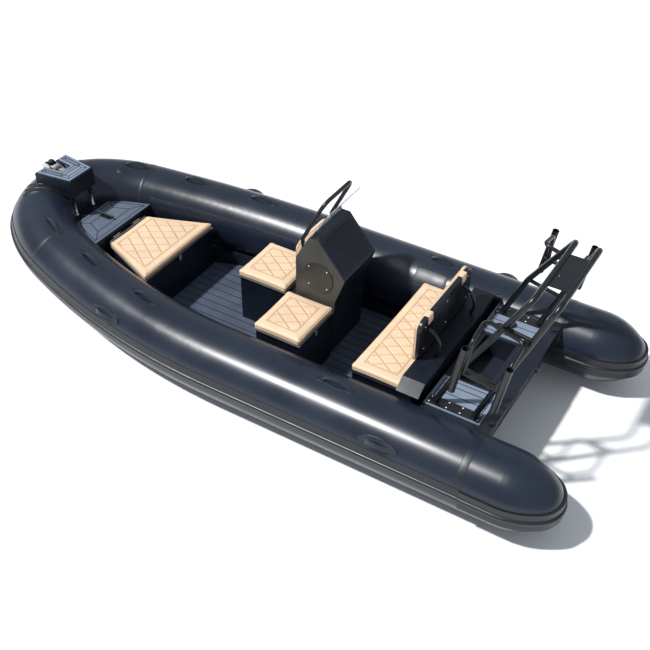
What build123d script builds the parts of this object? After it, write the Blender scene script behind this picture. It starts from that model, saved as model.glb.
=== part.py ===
from build123d import *
from math import acos, asin, atan, cos, radians, sin, tan
import os

os.makedirs("parts", exist_ok=True)

# Driving sizes in millimetres and degrees. +X is forward, +Y is port, +Z is up.
# The origin lies on the waterline, on the centreline, at mid length.
# A reach is a distance forward of the transom's top edge.
tube_diameter = 472
tube_half_spacing = 738  # from the centreline to the axis of a side tube
tube_axis_height = 276
straight_reach = 1800  # where the side tubes start to turn in
bow_reach = 3885  # where the tube's axis crosses the centreline
bow_pitch = 6.5
shoulder_yaw = 17
nose_yaw = 41.5
shoulder_share = 0.775  # of the way from the straight run to the bow
cone_length = 540
cone_straight = 200
cone_bulge_radius = 440
keel_depth = 170
floor_height = 12
mat_thickness = 8
transom_height = 465
transom_rake = 14
transom_thickness = 60
sheet = 5  # folded aluminium sheet
wall = 8  # walls and rims of lockers
cushion_thickness = 52
rest_gap = 0.3  # between a closed lid and its rim
side_gap = 8  # beside a moving lid
pin_clearance = 0.3
overrun = 40
frame_pipe = 38  # outer diameter of the stern arch's tube
rack_pipe = 26
rail_pipe = 28

tube_radius = tube_diameter / 2
inner_half = tube_half_spacing - tube_radius  # clear half width between the side tubes
transom_x = (cone_length - bow_reach - tube_radius) / 2
mat_top = floor_height + mat_thickness
quarter_turn = radians(90)


def station(reach):
    return transom_x + reach


def mirrored(point):
    return Vector(point.X, -point.Y, point.Z)


def block(aft, fore, starboard, port, low, high, mode=Mode.ADD):
    with Locations(((aft + fore) / 2, (starboard + port) / 2, (low + high) / 2)):
        Box(fore - aft, port - starboard, high - low, mode=mode)


def side_profile(points, starboard, port, mode=Mode.ADD):
    with BuildSketch(Plane.XZ.offset(-port)) as outline:
        with BuildLine():
            Polyline(*points, close=True)
        make_face()
    extrude(outline.sketch, amount=port - starboard, mode=mode)


def plan_profile(points, low, high, mode=Mode.ADD):
    with BuildSketch(Plane.XY.offset(low)) as outline:
        with BuildLine():
            Polyline(*points, close=True)
        make_face()
    extrude(outline.sketch, amount=high - low, mode=mode)


def rod(start, end, diameter, mode=Mode.ADD):
    with BuildSketch(Plane(origin=start, z_dir=end - start)) as section:
        Circle(diameter / 2)
    extrude(section.sketch, amount=(end - start).length, mode=mode)


def pipe(points, radii, diameter):
    with BuildLine() as path:
        FilletPolyline(*points, radius=radii)
    with BuildSketch(Plane(origin=points[0], z_dir=points[1] - points[0])) as section:
        Circle(diameter / 2)
    sweep(section.sketch, path=path.line)


def finish(piece, name):
    piece.part.label = name
    export_step(piece.part, f"parts/{name}.step")
    print(name, len(piece.part.solids()), round(piece.part.volume))


# Path of the port tube's axis: a line, a rising shoulder arc, then two arcs in an inclined plane
bow_tangent = Vector(
    cos(radians(bow_pitch)) * cos(radians(shoulder_yaw)),
    -cos(radians(bow_pitch)) * sin(radians(shoulder_yaw)),
    sin(radians(bow_pitch)),
)
shoulder_turn = acos(bow_tangent.X)
shoulder_radius = (bow_reach - straight_reach) * shoulder_share / sin(shoulder_turn)
shoulder_bend = (bow_tangent - Vector(cos(shoulder_turn), 0, 0)).normalized()
plane_yaw = asin(-bow_tangent.Y)
plane_slope = atan(bow_tangent.Z / bow_tangent.X)
plane_forward = Vector(cos(plane_slope), 0, sin(plane_slope))
nose_angle = radians(nose_yaw)
tube_start = Vector(station(0), tube_half_spacing, tube_axis_height)
shoulder_start = Vector(station(straight_reach), tube_half_spacing, tube_axis_height)


def shoulder_point(turn):
    ahead = Vector(1, 0, 0) * (shoulder_radius * sin(turn))
    return shoulder_start + ahead + shoulder_bend * (shoulder_radius * (1 - cos(turn)))


cheek_start = shoulder_point(shoulder_turn)
shoulder_steps = 6
shoulder_path = [shoulder_point(shoulder_turn * step / shoulder_steps) for step in range(shoulder_steps + 1)]
nose_ahead = (station(bow_reach) - cheek_start.X) / cos(plane_slope)
# The two arcs end on the centreline and at the bow's reach, which gives two equations in their radii
aside_cheek, aside_nose = cos(plane_yaw) - cos(nose_angle), cos(nose_angle)
ahead_cheek, ahead_nose = sin(nose_angle) - sin(plane_yaw), 1 - sin(nose_angle)
determinant = aside_cheek * ahead_nose - aside_nose * ahead_cheek
cheek_radius = (cheek_start.Y * ahead_nose - aside_nose * nose_ahead) / determinant
nose_radius = (aside_cheek * nose_ahead - cheek_start.Y * ahead_cheek) / determinant


def cheek_point(yaw):
    ahead = plane_forward * (cheek_radius * (sin(yaw) - sin(plane_yaw)))
    return cheek_start + ahead - Vector(0, cheek_radius * (cos(plane_yaw) - cos(yaw)), 0)


nose_start = cheek_point(nose_angle)


def nose_point(yaw):
    ahead = plane_forward * (nose_radius * (sin(yaw) - sin(nose_angle)))
    return nose_start + ahead - Vector(0, nose_radius * (cos(nose_angle) - cos(yaw)), 0)


bow_point = nose_point(quarter_turn)
cheek_middle = cheek_point((plane_yaw + nose_angle) / 2)


def tube_place(reach):
    x = station(reach)
    if x <= shoulder_start.X:
        return Vector(x, tube_half_spacing, tube_axis_height), Vector(1, 0, 0)
    if x <= cheek_start.X:
        turn = asin((x - shoulder_start.X) / shoulder_radius)
        return shoulder_point(turn), Vector(cos(turn), 0, 0) + shoulder_bend * sin(turn)
    yaw = asin((x - cheek_start.X) / (plane_forward.X * cheek_radius) + sin(plane_yaw))
    return cheek_point(yaw), plane_forward * cos(yaw) - Vector(0, sin(yaw), 0)


def on_tube(reach, lean, side):
    # X runs along the tube and Z points out of it, leaning outboard from straight up
    axis, along = tube_place(reach)
    up = (Vector(0, 0, 1) - along * along.Z).normalized()
    outboard = up.cross(along)
    out = up * cos(radians(lean)) + outboard * sin(radians(lean))
    origin = axis + out * tube_radius
    if side < 0:
        origin, along, out = mirrored(origin), mirrored(along), mirrored(out)
    return Plane(origin=origin, x_dir=along, z_dir=out)


# Inflated chambers
with BuildPart() as tube_port:
    with BuildLine():
        Line(tube_start, shoulder_start)
        Spline(*shoulder_path, tangents=((1, 0, 0), bow_tangent))
    with BuildSketch(Plane(origin=tube_start, x_dir=(0, 1, 0), z_dir=(1, 0, 0))):
        Circle(tube_radius)
    sweep()
finish(tube_port, "tube_port")

with BuildPart() as tube_starboard:
    add(tube_port.part.mirror(Plane.XZ))
finish(tube_starboard, "tube_starboard")

with BuildPart() as tube_bow:
    with BuildLine():
        ThreePointArc(cheek_start, cheek_middle, nose_start)
        ThreePointArc(nose_start, bow_point, mirrored(nose_start))
        ThreePointArc(mirrored(nose_start), mirrored(cheek_middle), mirrored(cheek_start))
    with BuildSketch(Plane(origin=cheek_start, x_dir=(0, 0, 1), z_dir=bow_tangent)):
        Circle(tube_radius)
    sweep()
finish(tube_bow, "tube_bow")

# Stern cones, a straight run and a bulging taper that ends in a blunt nose
cone_neck_share = 0.79
cone_neck_x = (cone_length - cone_straight) * cone_neck_share
cone_turn = asin(cone_neck_x / cone_bulge_radius)
cone_neck = tube_radius - cone_bulge_radius * (1 - cos(cone_turn))
cap_centre = cone_neck_x - cone_neck * tan(cone_turn)
cap_radius = cone_neck / cos(cone_turn)
cap_turn = (cone_turn + quarter_turn) / 2
cone_start = tube_start - Vector(cone_straight, 0, 0)


def cone_outline():
    # Distance aft and distance from the axis, from the straight run's end to the tip
    centre = tube_radius - cone_bulge_radius
    return (
        (0, tube_radius),
        (cone_bulge_radius * sin(cone_turn / 2), centre + cone_bulge_radius * cos(cone_turn / 2)),
        (cone_bulge_radius * sin(cone_turn), centre + cone_bulge_radius * cos(cone_turn)),
        (cap_centre + cap_radius * sin(cap_turn), cap_radius * cos(cap_turn)),
        (cap_centre + cap_radius, 0),
    )


with BuildPart() as cone:
    with BuildSketch(Plane(origin=cone_start, x_dir=(-1, 0, 0), z_dir=(0, 0, -1))):
        with BuildLine():
            root, bulge, neck, cap, tip = cone_outline()
            ThreePointArc(root, bulge, neck)
            ThreePointArc(neck, cap, tip)
            Polyline(tip, (-cone_straight, 0), (-cone_straight, tube_radius), root)
        make_face()
    revolve(axis=Axis(tube_start, (1, 0, 0)))

with BuildPart() as stern_cones:
    add(cone.part)
    add(cone.part.mirror(Plane.XZ))
finish(stern_cones, "stern_cones")

# Rub rail, a thin flange with one round bead along its middle
rail_base = 4
rail_bead = 16
rail_bed = tube_radius + 0.05  # clear of the tube's swept face
rail_edge_angle, rail_bead_angle = 16, 4


def polar(radius, angle):
    return (radius * cos(radians(angle)), radius * sin(radians(angle)))


with BuildPart() as rail_half:
    with BuildLine():
        ThreePointArc(bow_point, nose_point((nose_angle + quarter_turn) / 2), nose_start)
        ThreePointArc(nose_start, cheek_middle, cheek_start)
        Spline(*shoulder_path[::-1], tangents=(bow_tangent * -1, (-1, 0, 0)))
        Line(shoulder_start, tube_start)
    with BuildSketch(Plane(origin=bow_point, x_dir=plane_forward, z_dir=(0, 1, 0))):
        with BuildLine():
            flange = tube_radius + rail_base
            edge, bead = rail_edge_angle, rail_bead_angle
            between = (edge + bead) / 2
            Line(polar(rail_bed, -edge), polar(flange, -edge))
            ThreePointArc(polar(flange, -edge), polar(flange, -between), polar(flange, -bead))
            ThreePointArc(polar(flange, -bead), (tube_radius + rail_bead, 0), polar(flange, bead))
            ThreePointArc(polar(flange, bead), polar(flange, between), polar(flange, edge))
            Line(polar(flange, edge), polar(rail_bed, edge))
            ThreePointArc(polar(rail_bed, edge), (rail_bed, 0), polar(rail_bed, -edge))
        make_face()
    sweep()

with BuildPart() as rub_rail:
    add(rail_half.part)
    add(rail_half.part.mirror(Plane.XZ))
finish(rub_rail, "rub_rail")

# The rail goes on round both cones, in to their inboard side
rail_root = 12
with BuildPart() as cone_rail_half:
    rail_start = tube_start + Vector(0, tube_radius, 0)
    with BuildLine(Plane(origin=cone_start, x_dir=(-1, 0, 0), z_dir=(0, 0, -1))) as cone_rail_path:
        root, bulge, neck, cap, tip = cone_outline()
        Line((-cone_straight, tube_radius), root)
        ThreePointArc(root, bulge, neck)
        ThreePointArc(neck, tip, (neck[0], -neck[1]))
        ThreePointArc((neck[0], -neck[1]), (bulge[0], -bulge[1]), (root[0], -root[1]))
        Line((root[0], -root[1]), (-cone_straight, -tube_radius))
    with BuildSketch(Plane(origin=rail_start, x_dir=(0, 1, 0), z_dir=(-1, 0, 0))):
        with BuildLine():
            edge, bead = polar(tube_radius, rail_edge_angle)[1], polar(tube_radius, rail_bead_angle)[1]
            Polyline((rail_base, -bead), (rail_base, -edge), (-rail_root, -edge))
            Polyline((-rail_root, -edge), (-rail_root, edge), (rail_base, edge), (rail_base, bead))
            ThreePointArc((rail_base, bead), (rail_bead, 0), (rail_base, -bead))
        make_face()
    sweep()
    add(cone.part, mode=Mode.SUBTRACT)

with BuildPart() as cone_rails:
    add(cone_rail_half.part)
    add(cone_rail_half.part.mirror(Plane.XZ))
finish(cone_rails, "cone_rails")

# Hull, a deep V with one strake and a chine flat a side, cut to seat the tubes
# Columns: reach as a share of bow_reach, beam of tube_half_spacing, keel of keel_depth,
# chine and rim of tube_radius
hull_sections = (
    (0.0, 0.90, -1.0, 0.0, 0.44),
    (0.50, 0.90, -1.0, 0.0, 0.44),
    (0.66, 0.86, -0.95, 0.10, 0.50),
    (0.80, 0.74, -0.72, 0.27, 0.70),
    (0.90, 0.52, -0.25, 0.50, 0.95),
    (0.965, 0.27, 0.40, 0.70, 1.02),
    (1.0, 0.08, 0.95, 0.86, 1.05),
)
strake_share = 0.45
strake_lip = 22
chine_flat = 34
rim_flare = 15
pocket_tuck = 46  # of the cockpit's sides under the tubes
pocket_half = inner_half + pocket_tuck
cockpit_edge = (  # share of bow_reach, share of pocket_half
    (0, 1),
    (0.496, 1),
    (0.655, 0.9),
    (0.793, 0.55),
    (0.823, 0.44),
)


def hull_outline(beam, keel, chine, rim):
    shrink = beam / (tube_half_spacing * hull_sections[0][1])
    flat, lip = chine_flat * shrink, strake_lip * shrink
    strake = beam * strake_share
    strake_height = keel + (chine - keel) * strake_share
    chine_in = (beam - flat, keel + (chine - keel) * (beam - flat) / beam)
    half = [
        (strake, strake_height),
        (strake + lip, strake_height),
        chine_in,
        (beam, chine_in[1]),
        (beam + rim_flare * shrink, rim),
    ]
    return [(0, keel)] + half + [(-y, z) for y, z in reversed(half)]


def transom_front(height):
    return transom_x + (transom_height - height) * tan(radians(transom_rake)) + transom_thickness


with BuildPart() as hull:
    for reach, beam, keel, chine, rim in hull_sections:
        with BuildSketch(Plane.YZ.offset(station(reach * bow_reach))):
            with BuildLine():
                heights = keel * keel_depth, chine * tube_radius, rim * tube_radius
                Polyline(*hull_outline(beam * tube_half_spacing, *heights), close=True)
            make_face()
    loft(ruled=True)
    pocket_port = [(station(reach * bow_reach), half * pocket_half) for reach, half in cockpit_edge]
    pocket = list(pocket_port)
    pocket += [(x, -y) for x, y in reversed(pocket)]
    plan_profile(pocket, floor_height, tube_axis_height, mode=Mode.SUBTRACT)
    low, high = -keel_depth - overrun, tube_axis_height
    aft_waste = [
        (transom_x - overrun, low),
        (transom_front(low), low),
        (transom_front(high), high),
        (transom_x - overrun, high),
    ]
    side_profile(aft_waste, -tube_half_spacing, tube_half_spacing, mode=Mode.SUBTRACT)
    for tube in (tube_port, tube_starboard, tube_bow):
        add(tube.part, mode=Mode.SUBTRACT)
finish(hull, "hull")

# Transom, a raked board between the tubes
transom_tuck = 98
transom_half_top = inner_half + transom_tuck
motor_pad_low, motor_pad_half, motor_pad_thickness = 120, 170, 4
with BuildPart() as transom:
    first = hull_sections[0]
    outline = hull_outline(
        first[1] * tube_half_spacing, first[2] * keel_depth, first[3] * tube_radius, first[4] * tube_radius
    )
    half = [point for point in outline if point[0] > 0]
    half.append((transom_half_top, transom_height))
    with BuildSketch(Plane.YZ.offset(transom_x - overrun)):
        with BuildLine():
            Polyline(*[(0, -keel_depth)], *half, *[(-y, z) for y, z in reversed(half)], close=True)
        make_face()
    extrude(amount=transom_front(-keel_depth) - transom_x + overrun)
    low, high = -keel_depth - overrun, transom_height + overrun
    slab = [
        (transom_front(low) - transom_thickness, low),
        (transom_front(low), low),
        (transom_front(high), high),
        (transom_front(high) - transom_thickness, high),
    ]
    side_profile(slab, -tube_half_spacing, tube_half_spacing, mode=Mode.INTERSECT)
    for tube in (tube_port, tube_starboard, stern_cones):
        add(tube.part, mode=Mode.SUBTRACT)
    pad_faces = [(transom_front(z) - transom_thickness, z) for z in (motor_pad_low, transom_height)]
    pad_outline = pad_faces + [(x - motor_pad_thickness, z) for x, z in reversed(pad_faces)]
    side_profile(pad_outline, -motor_pad_half, motor_pad_half)
finish(transom, "transom")

# Stern deck with the motor well, its pads, and the cap and fittings
deck_front = 455
deck_top = transom_height - mat_thickness
deck_half = pocket_half
deck_wing = transom_half_top
well_aft, well_fore, well_half = 180, 395, 240
well_depth = 165
with BuildPart() as stern_deck:
    body = [
        (transom_front(floor_height), floor_height),
        (station(deck_front), floor_height),
        (station(deck_front), deck_top),
        (transom_front(deck_top), deck_top),
    ]
    side_profile(body, -deck_half, deck_half)
    wings = [
        (transom_front(tube_axis_height), tube_axis_height),
        (station(deck_front), tube_axis_height),
        (station(deck_front), deck_top),
        (transom_front(deck_top), deck_top),
    ]
    side_profile(wings, -deck_wing, deck_wing)
    block(
        station(well_aft), station(well_fore), -well_half, well_half,
        deck_top - well_depth, deck_top + overrun, mode=Mode.SUBTRACT,
    )
    for tube in (tube_port, tube_starboard):
        add(tube.part, mode=Mode.SUBTRACT)
finish(stern_deck, "stern_deck")

pad_aft, pad_fore = 83, 450
pad_gap = 22
pad_inner, pad_outer = well_half + pad_gap, inner_half + pocket_tuck

cap_diameter, cap_height = 110, 14
filler_diameter, filler_height = 62, 12
filler_places = ((347, -340), (284, -400))  # reach, port
plug_reach, plug_half, plug_diameter, plug_height = 28, inner_half, 44, 14
with BuildPart() as deck_fittings:
    with Locations((station(well_fore - cap_diameter), 0, deck_top - well_depth + cap_height / 2)):
        Cylinder(cap_diameter / 2, cap_height)
    for reach, port in filler_places:
        with Locations((station(reach), port, deck_top + mat_thickness + filler_height / 2)):
            Cylinder(filler_diameter / 2, filler_height)
    for side in (-1, 1):
        with Locations((station(plug_reach), side * plug_half, transom_height + plug_height / 2)):
            Cylinder(plug_diameter / 2, plug_height)
finish(deck_fittings, "deck_fittings")

# Cockpit mat
mat_margin = 12
bench_front, bow_locker_aft = 970, 2730
with BuildPart() as cockpit_mat:
    (wide_x, wide_half), (narrow_x, narrow_half) = pocket_port[2:4]
    taper = (wide_half - narrow_half) / (narrow_x - wide_x)
    end_half = wide_half - taper * (station(bow_locker_aft) - wide_x)
    edge = [(station(bench_front), pocket_port[0][1]), pocket_port[1], pocket_port[2]]
    edge.append((station(bow_locker_aft), end_half))
    edge = [(x, y - mat_margin) for x, y in edge]
    plan_profile(edge + [(x, -y) for x, y in reversed(edge)], floor_height, mat_top)
finish(cockpit_mat, "cockpit_mat")

# Hinges: a pin between two lugs on the fixed side, a barrel on a tab under the lid
barrel_diameter = 12
pin_diameter = 6
barrel_length, lug_length, knuckle_gap = 70, 16, 5
hinge_drop = 11  # of the axis under the rim
hinge_reach = 11  # of the axis from the wall
tab = 5


def hinge_pin(x, z, port, wall_x):
    inner = barrel_length / 2 + knuckle_gap
    outer = inner + lug_length
    rod(Vector(x, port - outer, z), Vector(x, port + outer, z), pin_diameter)
    for side in (-1, 1):
        near, far = sorted((port + side * inner, port + side * outer))
        rod(Vector(x, near, z), Vector(x, far, z), barrel_diameter)
        block(min(x, wall_x), max(x, wall_x), near, far, z - barrel_diameter / 2, z + barrel_diameter / 2)


def hinge_barrel(x, z, port, tab_aft, tab_fore, tab_low, tab_high):
    near, far = port - barrel_length / 2, port + barrel_length / 2
    rod(Vector(x, near, z), Vector(x, far, z), barrel_diameter)
    block(tab_aft, tab_fore, near, far, tab_low, tab_high)
    bore = pin_diameter + 2 * pin_clearance
    rod(Vector(x, near - tab, z), Vector(x, far + tab, z), bore, mode=Mode.SUBTRACT)


# Aft bench: a stepped box, one lid that carries ledge, cushion and backrest and tips aft
bench_aft, ledge_fore = 480, 610
bench_half = inner_half
lid_lip = 12
bench_seat, ledge_top = 485, 573
bench_rim = bench_seat - cushion_thickness - sheet - rest_gap
ledge_rim = ledge_top - sheet - rest_gap
bench_axis_x = station(bench_aft) - hinge_reach
bench_axis_z = ledge_rim - hinge_drop
bench_hinges = (-330, 330)
step_x = station(ledge_fore)
with BuildPart() as bench_box:
    outer = [
        (station(bench_aft), floor_height),
        (station(bench_front), floor_height),
        (station(bench_front), bench_rim),
        (step_x, bench_rim),
        (step_x, ledge_rim),
        (station(bench_aft), ledge_rim),
    ]
    side_profile(outer, -bench_half, bench_half)
    inner = [
        (station(bench_aft) + wall, floor_height + wall),
        (station(bench_front) - wall, floor_height + wall),
        (station(bench_front) - wall, ledge_top + overrun),
        (station(bench_aft) + wall, ledge_top + overrun),
    ]
    side_profile(inner, -bench_half + wall, bench_half - wall, mode=Mode.SUBTRACT)
    for port in bench_hinges:
        hinge_pin(bench_axis_x, bench_axis_z, port, station(bench_aft))
    for tube in (tube_port, tube_starboard):
        add(tube.part, mode=Mode.SUBTRACT)
finish(bench_box, "bench_box")

ledge_wing, ledge_fall = 84, 54
with BuildPart() as bench_lid:
    plate_top, riser_x = bench_rim + rest_gap + sheet, step_x + rest_gap
    lid_edge = bench_axis_x - tab
    bent = [
        (lid_edge, ledge_top),
        (lid_edge, ledge_top - sheet),
        (riser_x, ledge_top - sheet),
        (riser_x, plate_top - sheet),
        (station(bench_front) + lid_lip, plate_top - sheet),
        (station(bench_front) + lid_lip, plate_top),
        (riser_x + sheet, plate_top),
        (riser_x + sheet, ledge_top),
    ]
    side_profile(bent, -bench_half - lid_lip, bench_half + lid_lip)
    fold = bench_half + lid_lip
    for side in (-1, 1):
        wing = [
            (side * fold, ledge_top),
            (side * (fold + ledge_wing), ledge_top - ledge_fall),
            (side * (fold + ledge_wing), ledge_top - ledge_fall - sheet),
            (side * fold, ledge_top - sheet),
        ]
        with BuildSketch(Plane.YZ.offset(lid_edge)) as wing_sketch:
            with BuildLine():
                Polyline(*wing, close=True)
            make_face()
        extrude(wing_sketch.sketch, amount=riser_x + sheet - lid_edge)
    for port in bench_hinges:
        edges = bench_axis_x - tab / 2, bench_axis_x + tab / 2
        hinge_barrel(bench_axis_x, bench_axis_z, port, *edges, bench_axis_z, ledge_top)
finish(bench_lid, "bench_lid")

cushion_margin = 6
with BuildPart() as bench_cushion:
    half = bench_half + lid_lip - cushion_margin
    block(riser_x + sheet, station(bench_front) + lid_lip, -half, half, plate_top, bench_seat)
    fillet(bench_cushion.edges().group_by(Axis.Z)[-1], cushion_margin * 2)
finish(bench_cushion, "bench_cushion")

# Backrest: a rounded board on two curved arms, with its cushion in front
backrest_half = 360
backrest_low, backrest_high = 545, 862
board_low = 581
board_thickness = 26
board_x = riser_x + sheet - board_thickness
board_corner = 60
board_round = 10
backrest_cushion_thickness = 31
tab_places, tab_half, tab_fold, tab_drop = (-235, 235), 32, 4, 60
with BuildPart() as backrest_board:
    with BuildSketch(Plane.YZ.offset(board_x)):
        with Locations((0, (board_low + backrest_high) / 2)):
            RectangleRounded(2 * backrest_half, backrest_high - board_low, board_corner)
    extrude(amount=board_thickness)
    fillet(backrest_board.faces().sort_by(Axis.X)[0].edges(), board_round)
finish(backrest_board, "backrest_board")

with BuildPart() as backrest_cushion:
    with BuildSketch(Plane.YZ.offset(board_x + board_thickness)):
        with Locations((0, (backrest_low + backrest_high) / 2)):
            RectangleRounded(2 * (backrest_half + cushion_margin), backrest_high - backrest_low, board_corner)
    extrude(amount=backrest_cushion_thickness)
    fillet(backrest_cushion.edges().group_by(Axis.X)[-1], cushion_margin * 2)
    for port in tab_places:
        sides = port - tab_half, port + tab_half
        over = board_x + board_thickness + board_round
        block(board_x - tab_fold, over, *sides, backrest_high, backrest_high + tab_fold)
        block(board_x - tab_fold, board_x, *sides, backrest_high - tab_drop, backrest_high)
finish(backrest_cushion, "backrest_cushion")

arm_spacing, arm_diameter = 250, 22
arm_foot_reach, arm_top = 525, 760
arm_bulge = 45
with BuildPart() as backrest_arms:
    for side in (-1, 1):
        foot = Vector(station(arm_foot_reach), side * arm_spacing, ledge_top)
        crest = Vector(board_x, side * arm_spacing, arm_top)
        middle = (foot + crest) / 2 + Vector(-arm_bulge, 0, arm_bulge / 2)
        with BuildLine() as arm_path:
            arc = ThreePointArc(foot, middle, crest)
        with BuildSketch(Plane(origin=foot, z_dir=arc % 0)):
            Circle(arm_diameter / 2)
        sweep()
    half = arm_spacing + arm_diameter
    block(board_x, station(bench_front), -half, half, ledge_top, backrest_high, mode=Mode.SUBTRACT)
    below = ledge_top - arm_diameter
    block(station(0), station(bench_front), -half, half, below, ledge_top, mode=Mode.SUBTRACT)
finish(backrest_arms, "backrest_arms")

# Console, a folded box with a sloping dash and an undercut back
console_port = 26
walk_through = 115  # between the console and the starboard tube
console_starboard = walk_through - inner_half
console_front, console_aft = 1700, 1410
brow = (1690, 744)
cowl_front, cowl_aft = (1584, 932), (1518, 932)
dash_low = (1311, 681)
knee = (1384, 476)
with BuildPart() as console:
    outline = [(console_front, mat_top), brow, cowl_front, cowl_aft, dash_low, knee, (console_aft, mat_top)]
    side_profile([(station(reach), height) for reach, height in outline], console_starboard, console_port)
finish(console, "console")

hatch_reach, hatch_height = 1515, 637
hatch_diameter, hatch_thickness = 230, 6
hatch_screw_radius, hatch_screw_diameter = 100, 6
with BuildPart() as hatch_plate:
    centre = (station(hatch_reach), console_port, hatch_height)
    with BuildSketch(Plane(origin=centre, x_dir=(1, 0, 0), z_dir=(0, 1, 0))):
        Circle(hatch_diameter / 2)
        with PolarLocations(hatch_screw_radius, 4, start_angle=45):
            Circle(hatch_screw_diameter / 2, mode=Mode.SUBTRACT)
    extrude(amount=hatch_thickness)
finish(hatch_plate, "hatch_plate")


def slope_point(share, lift):
    # A point up the console's front slope, with its outward offset
    run, rise = cowl_front[0] - brow[0], cowl_front[1] - brow[1]
    length = (run * run + rise * rise) ** 0.5
    out = (rise / length * lift, -run / length * lift)
    return (station(brow[0] + run * share) + out[0], brow[1] + rise * share + out[1])


screen_share = 0.78
screen_length, screen_thickness, screen_rake = 310, 6, 33
screen_margin = 12
with BuildPart() as windscreen:
    foot = slope_point(screen_share, 0)
    lean = (-sin(radians(screen_rake)), cos(radians(screen_rake)))
    thick = (lean[1] * screen_thickness, -lean[0] * screen_thickness)
    top = (foot[0] + lean[0] * screen_length, foot[1] + lean[1] * screen_length)
    low = (foot[0] - lean[0] * overrun, foot[1] - lean[1] * overrun)
    sheet_outline = [low, top]
    sheet_outline += [(x + thick[0], z + thick[1]) for x, z in (top, low)]
    side_profile(sheet_outline, console_starboard + screen_margin, console_port - screen_margin)
    add(console.part, mode=Mode.SUBTRACT)
finish(windscreen, "windscreen")

rail_foot_share = 0.3
rail_knee = (1654, 880)
rail_top = (1490, 1205)
rail_margin = 24
rail_bend, rail_corner = 60, 70
with BuildPart() as grab_rail:
    foot = slope_point(rail_foot_share, -rail_pipe)
    port, starboard = console_port - rail_margin, console_starboard + rail_margin
    points = [
        Vector(foot[0], port, foot[1]),
        Vector(station(rail_knee[0]), port, rail_knee[1]),
        Vector(station(rail_top[0]), port, rail_top[1]),
        Vector(station(rail_top[0]), starboard, rail_top[1]),
        Vector(station(rail_knee[0]), starboard, rail_knee[1]),
        Vector(foot[0], starboard, foot[1]),
    ]
    pipe(points, [rail_bend, rail_corner, rail_corner, rail_bend], rail_pipe)
    add(console.part, mode=Mode.SUBTRACT)
finish(grab_rail, "grab_rail")


def locker(aft, fore, starboard, port, top):
    block(aft, fore, starboard, port, mat_top, top)
    inside = starboard + wall, port - wall, mat_top + wall, top + overrun
    block(aft + wall, fore - wall, *inside, mode=Mode.SUBTRACT)


# Seats ahead of and beside the console, their lids hinged at the front edge
seat_overhang = hinge_reach + tab
seat_inset = 12
front_length, side_length = 461, 334
front_lid_back = 73  # from the console to the lid's aft edge
front_lid_port = console_port + 10
side_aft = console_aft - 16
side_lid_port = inner_half - 28
front_top, side_top = 450, 462
front_hinges, side_hinges = (-285, -85), (160, 350)
# Columns: aft wall, fore wall, lid's aft edge, lid's starboard and port edges, cushion top, hinge ports
front_seat = (
    console_front, console_front + front_length, console_front + front_lid_back,
    console_starboard, front_lid_port, front_top, front_hinges,
)
side_seat = (
    side_aft, side_aft + side_length, side_aft - seat_inset,
    front_lid_port + side_gap, side_lid_port, side_top, side_hinges,
)


def seat_rim(row):
    return row[5] - cushion_thickness - sheet - rest_gap


def seat_box(row):
    aft, fore, lid_aft, starboard, port, top, hinges = row
    rim = seat_rim(row)
    locker(station(aft), station(fore), starboard + seat_inset, port - seat_inset, rim)
    for hinge_port in hinges:
        hinge_pin(station(fore) + hinge_reach, rim - hinge_drop, hinge_port, station(fore))


def seat_lid(row):
    aft, fore, lid_aft, starboard, port, top, hinges = row
    plate = seat_rim(row) + rest_gap
    block(station(lid_aft), station(fore) + seat_overhang, starboard, port, plate, plate + sheet)
    for hinge_port in hinges:
        x, z = station(fore) + hinge_reach, plate - rest_gap - hinge_drop
        hinge_barrel(x, z, hinge_port, x - tab / 2, x + tab / 2, z, plate + sheet)


def seat_cushion(row):
    aft, fore, lid_aft, starboard, port, top, hinges = row
    block(station(lid_aft), station(fore) + seat_overhang, starboard, port, top - cushion_thickness, top)


with BuildPart() as seat_boxes:
    seat_box(front_seat)
    deck_fore = front_seat[2] - side_gap
    rim = seat_rim(front_seat)
    sides = front_seat[3] + seat_inset, front_seat[4] - seat_inset
    block(station(console_front), station(deck_fore), *sides, rim - wall, rim)
    seat_box(side_seat)
finish(seat_boxes, "seat_boxes")

with BuildPart() as front_seat_lid:
    seat_lid(front_seat)
finish(front_seat_lid, "front_seat_lid")

with BuildPart() as front_cushion:
    seat_cushion(front_seat)
    fillet(front_cushion.edges().group_by(Axis.Z)[-1], cushion_margin * 2)
finish(front_cushion, "front_cushion")

with BuildPart() as side_seat_lid:
    seat_lid(side_seat)
finish(side_seat_lid, "side_seat_lid")

with BuildPart() as side_cushion:
    seat_cushion(side_seat)
    fillet(side_cushion.edges().group_by(Axis.Z)[-1], cushion_margin * 2)
finish(side_cushion, "side_cushion")

back_low, back_share, back_thickness = 612, 0.54, 55
back_ends = console_starboard + rail_margin + rail_pipe, console_port - rail_margin - rail_pipe
with BuildPart() as front_backrest:
    slope = (console_front - brow[0]) / (brow[1] - mat_top)
    low_x = station(console_front) - slope * (back_low - mat_top) + rest_gap
    rear = [(low_x, back_low), slope_point(0, rest_gap), slope_point(back_share, rest_gap)]
    outline = rear + [
        slope_point(back_share, back_thickness),
        slope_point(0, back_thickness),
        (low_x + back_thickness, back_low),
    ]
    side_profile(outline, *back_ends)
    fillet(front_backrest.faces().sort_by(Axis.Y)[0].edges().sort_by(Axis.X)[-2:], cushion_margin)
finish(front_backrest, "front_backrest")

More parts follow.
